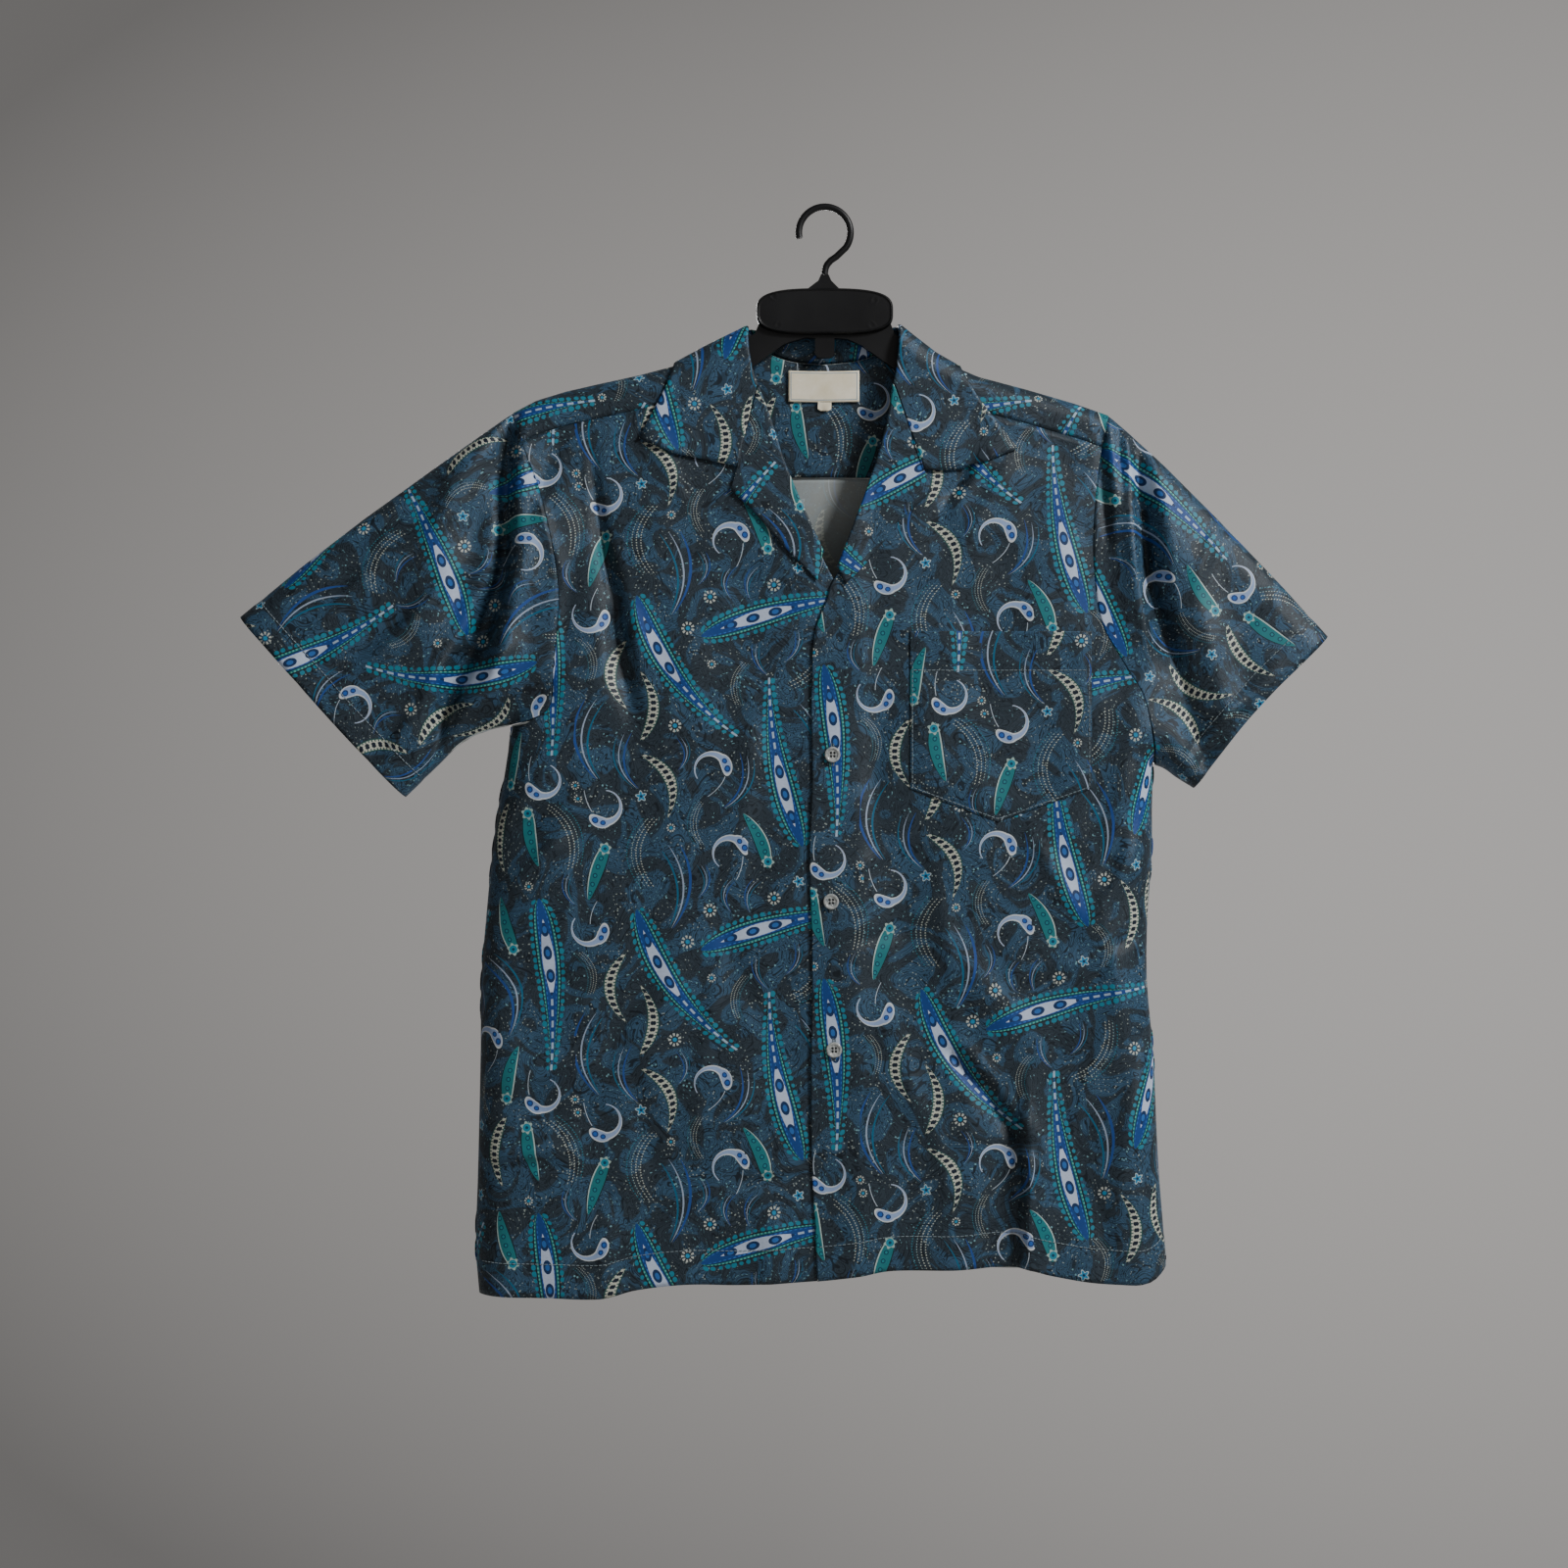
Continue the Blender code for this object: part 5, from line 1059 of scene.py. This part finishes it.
buttonholes, ties = [], []
for number, (bx, bz) in enumerate(BUTTONS, 1):
    stand = float(front_face(bx, bz)[1]) - 0.7
    r, a = np.meshgrid(np.linspace(0, 1, 27), np.linspace(0, 2 * math.pi, 96, endpoint=False), indexing="ij")
    rad = BUTTON_R * (1 - (1 - r) ** 1.4)
    x, z = rad * np.cos(a), rad * np.sin(a)
    hole = np.min([np.hypot(x - HOLE_OUT * math.cos(h), z - HOLE_OUT * math.sin(h))
                   for h in np.radians((45, 135, 225, 315))], axis=0)
    # Face: a rim with a round edge, a dish inside it, and four round wells.
    tall = (BUTTON_T - 0.8 * (1 - ramp(rad, 3.6, 4.5)) - 0.5 * ramp(rad, 5.2, BUTTON_R) ** 2
            - 1.5 * (1 - ramp(hole, 0.7, 1.0)))
    face = np.stack([x, -tall, z], axis=-1)
    foot_r = np.array([BUTTON_R, BUTTON_R, BUTTON_R - 0.5, 0.01])[:, None]
    foot_h = np.array([1.6, 0.6, 0.0, 0.0])[:, None]
    foot = np.stack([foot_r * np.cos(a[:1]), -foot_h * np.ones_like(a[:1]), foot_r * np.sin(a[:1])], axis=-1)
    grid = np.concatenate([face, foot])
    faces = grid_faces(grid, closed=True)
    wells = np.concatenate([hole.ravel() < 0.78, np.zeros(foot[..., 0].size, bool)])
    make_piece(f"button_{number}_shell", f"button_{number}", grid + np.array([bx, stand, bz]),
               faces.tolist(), (pearl, dark_thread), merge=0.02, outward=True, second=wells[faces[:, 0]])
    ends = (np.array([[bx + side * 1.25, stand - 1.6, bz + end] for side in (-1, 1)]) for end in (-1.9, 1.9))
    ties.append((*ends, np.array([[0.0, -1.0, 0.0]] * 2)))
    # Buttonhole: close stitches over both lips of an upright slit, 17 mm long.
    up = np.concatenate([np.arange(-8.5, -5.6, 0.42), np.arange(5.8, 8.7, 0.42)])
    for lip in (-1, 1):
        start, end = (front_face(bx + lip * off + 0 * up, bz + up) for off in (0.2, 1.5))
        buttonholes.append((start, end, np.broadcast_to([0.0, -1.0, 0.0], start.shape)))
sew("button_threads", ties, 0.45, 0.35, dark_thread)
sew("buttonhole_threads", buttonholes, 0.4, 0.4)


# ---------------------------------------------------------------- top-stitching
# Single needle lines in grey mercerised cotton, with 3 mm stitches. They hold the turned hems, the
# cuffs and the pocket.
STITCH, STITCH_SPACING = 3.0, 3.5


def stitches(x, w, out, lifted=False):
    """Stitches along a path on the skin, 3 mm long every 3.5 mm."""
    places, above = skin(x, w, out + 0.02), skin(x, w, out + 1.02)
    if lifted:
        places[..., 1] -= lift(x)
        above[..., 1] -= lift(x)
    run = np.concatenate([[0], np.cumsum(np.linalg.norm(np.diff(places, axis=0), axis=1))])
    starts = np.arange(0.6, run[-1] - (STITCH + 0.2), STITCH_SPACING)
    near = [np.stack([np.interp(s, run, places[:, i]) for i in range(3)], -1)
            for s in (starts, starts + STITCH)]
    up = np.stack([np.interp(starts + STITCH / 2, run, (above - places)[:, i]) for i in range(3)], -1)
    return near[0], near[1], up


lines = []
for start, end, face, rows, lifted in ((-264, UNDERLAP_X - 2, -1, HEM, False), (-5, 260, -1, HEM, True),
                                       (-264, 260, 1, HEM_BACK, False)):
    x = spaced(start, end, 3)
    lines.append(stitches(x, drop(x, curve(*rows, x) + HEM_TURN, face), 0.05, lifted))
for side, turn in (("left", 1), ("right", -1)):
    rows = CUFF[side]
    x, z = along(rows, np.linspace(3, run_of(*rows)[-1] - 3, 70))
    dx, dz = np.gradient(x), np.gradient(z)
    size = np.hypot(dx, dz)
    x, z = x + dz / size * CUFF_TURN * turn, z - dx / size * CUFF_TURN * turn
    keep = (top(x) - z > 0.5) & (to_lines(x, z, *SIDE_LINES) > 0.3)
    for face in (-1, 1):
        lines.append(stitches(x[keep], drop(x[keep], z[keep], face), 0.05))
px = np.concatenate([np.full(30, POCKET_LEFT + 1.8), spaced(POCKET_LEFT + 1.8, POCKET_POINT_X, 3)[1:],
                     spaced(POCKET_POINT_X, POCKET_RIGHT - 1.8, 3)[1:], np.full(29, POCKET_RIGHT - 1.8)])
pz = np.concatenate([np.linspace(POCKET_TOP - 1, POCKET_CORNER + 1.5, 30),
                     pocket_foot(px[30:-29], 1.8, 0.4),
                     np.linspace(POCKET_CORNER + 1.5, POCKET_TOP - 1, 30)[1:]])
lines.append(stitches(px, drop(px, pz, -1), 0.82))
hx = spaced(POCKET_LEFT + 2, POCKET_RIGHT - 2, 3)
lines.append(stitches(hx, drop(hx, np.full_like(hx, POCKET_HEM), -1), 1.5))
sew("top_stitching", lines)

# ---------------------------------------------------------------- hanger
# Injection-moulded black polypropylene: webbed arms inside the shoulders, a wide plate with a rim
# and pin marks across the neck, and a hook; only its foot shows in the photograph.
PLATE_HALF_W, PLATE_TOP, PLATE_BOTTOM = 52.8, -62.0, -97.0
PLATE_BACK, PIN_MARKS = 3.4, ((-39.75, -68.0), (38.25, -71.0), (-36.0, -90.0), (36.0, -90.0))
HOOK_WIRE_R, HOOK_R, STUB_TOP = 2.6, 20.0, -50.4
plastic = make_material("moulded polypropylene", (("grain", 1400.0, 2.0, 0.0), ("wipe", 24.0, 4.0, 0.0)),
                        "#08080a", "#131416 wipe", ("grain", 0.25, 0.0002), Roughness="wipe * 0.25 + 0.3",
                        Specular_IOR_Level=0.3)
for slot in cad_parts["hanger_body"].material_slots:
    slot.material = plastic

# Plate: a superellipse sheet; its face swells to a rim 1.5 mm in from the edge, then rounds off.
mid, half = (PLATE_TOP + PLATE_BOTTOM) / 2, (PLATE_TOP - PLATE_BOTTOM) / 2
r, a = np.meshgrid(np.concatenate([np.linspace(0, 0.84, 14), np.linspace(0.86, 1, 16)]),
                   np.linspace(0, 2 * math.pi, 180, endpoint=False), indexing="ij")
power = 2 / 3.4
px = PLATE_HALF_W * np.sign(np.cos(a)) * np.abs(np.cos(a)) ** power
pz = half * np.sign(np.sin(a)) * np.abs(np.sin(a)) ** power
inward = half * (1 - r)
x, z = px * (1 - inward / PLATE_HALF_W), pz * r
crown = 0.9 * (1 - (x / PLATE_HALF_W) ** 2) * np.where(z > 0, z / half, 0)
y = PLATE_BACK + 2.9 * rounded(inward, 1.1) + 0.9 * np.exp(-((inward - 1.4) / 0.55) ** 2)
for mark_x, mark_z in PIN_MARKS:
    d = np.hypot(x - mark_x, z + mid - mark_z)
    y = y + 0.22 * np.exp(-((d - 2.4) / 0.45) ** 2) - 0.12 * np.exp(-(d / 1.9) ** 4)
front = np.stack([x, -y, z + mid + crown], axis=-1)
rear = front.copy()
rear[..., 1] = -PLATE_BACK
grid = np.concatenate([front, rear[::-1]])
make_piece("hanger_plate_moulding", "hanger_plate", grid,
           grid_faces(grid, closed=True).tolist(), (plastic,), merge=0.01, outward=True)

# Hook: a round bar from the stub, round the outside and over to a free end.
data = bpy.data.curves.new("hanger_hook_bar", "CURVE")
data.dimensions = "3D"
data.bevel_depth = HOOK_WIRE_R * 0.001
data.bevel_resolution = 8
data.use_fill_caps = True
angles = np.radians(np.linspace(-36, 192.6, 60))
path = np.concatenate([[(0, STUB_TOP + 0.35), (0.1, -48), (0.6, -45), (2.0, -42), (4.6, -39), (9, -36)],
                       pair(HOOK_R * np.cos(angles), HOOK_WIRE_R - HOOK_R + HOOK_R * np.sin(angles))])
spline = data.splines.new("POLY")
spline.points.add(len(path) - 1)
for p, (x, z) in zip(spline.points, path):
    p.co = (x * 0.001, 0, z * 0.001, 1)
spline.use_smooth = True
hook = bpy.data.objects.new("hanger_hook_bar", data)
data.materials.append(plastic)
bpy.context.scene.collection.objects.link(hook)
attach(hook, "root")
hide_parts("hanger_hook")

# ---------------------------------------------------------------- light and floor
# A soft light from the upper right, a weaker one from the left, and a grey room that is brightest
# level with the shirt, a little to its right.
world = bpy.data.worlds.new("room")
bpy.context.scene.world = world
world.use_nodes = True
tree, background = world.node_tree, world.node_tree.nodes["Background"]
way = add(tree, "ShaderNodeSeparateXYZ", {0: add(tree, "ShaderNodeTexCoord", out="Generated")}).node
known = {"x": way.outputs[0], "z": way.outputs[2]}
strength = "max(0.15, 0.4 - power(abs(x - 0.2), 2) * 0.68 - z * z * 1.65 + max(x, 0) * 0.2)"
tree.links.new(formula(tree, known, strength), background.inputs["Strength"])
background.inputs["Color"].default_value = linear("#fffbf8")
for name, place, size, energy, aim in (("key", (2.1, -1.7, 1.4), 0.8, 120.0, (0, 0, -0.4)),
                                       ("fill", (-1.8, -2.0, -0.2), 1.6, 3.0, (0, 0, -0.45)),
                                       ("back", (-0.4, 2.7, 0.1), 1.2, 62.0, (0, 0.1, -0.45))):
    data = bpy.data.lights.new(name, "AREA")
    data.shape, data.size, data.energy = "DISK", size, energy
    lamp = bpy.data.objects.new(name, data)
    lamp.location = place
    lamp.visible_camera = False
    way = np.array(aim) - np.array(place)
    tilt = math.acos(-way[2] / np.linalg.norm(way))
    lamp.rotation_euler = (tilt, 0, math.atan2(way[1], way[0]) - math.pi / 2)
    bpy.context.scene.collection.objects.link(lamp)
paint = make_material("matt floor paint", (("mottle", 3.0, 2.0, 0.0),), "#bdbbb8", "#c4c2bf mottle",
                      Roughness=0.9)
mesh = bpy.data.meshes.new("floor")
mesh.from_pydata([(-4, -4.5, -1.9), (4, -4.5, -1.9), (4, 2.2, -1.9), (-4, 2.2, -1.9)], [], [(0, 1, 2, 3)])
floor = bpy.data.objects.new("floor", mesh)
mesh.materials.append(paint)
bpy.context.scene.collection.objects.link(floor)

print("cuts", json.dumps(CUTS))
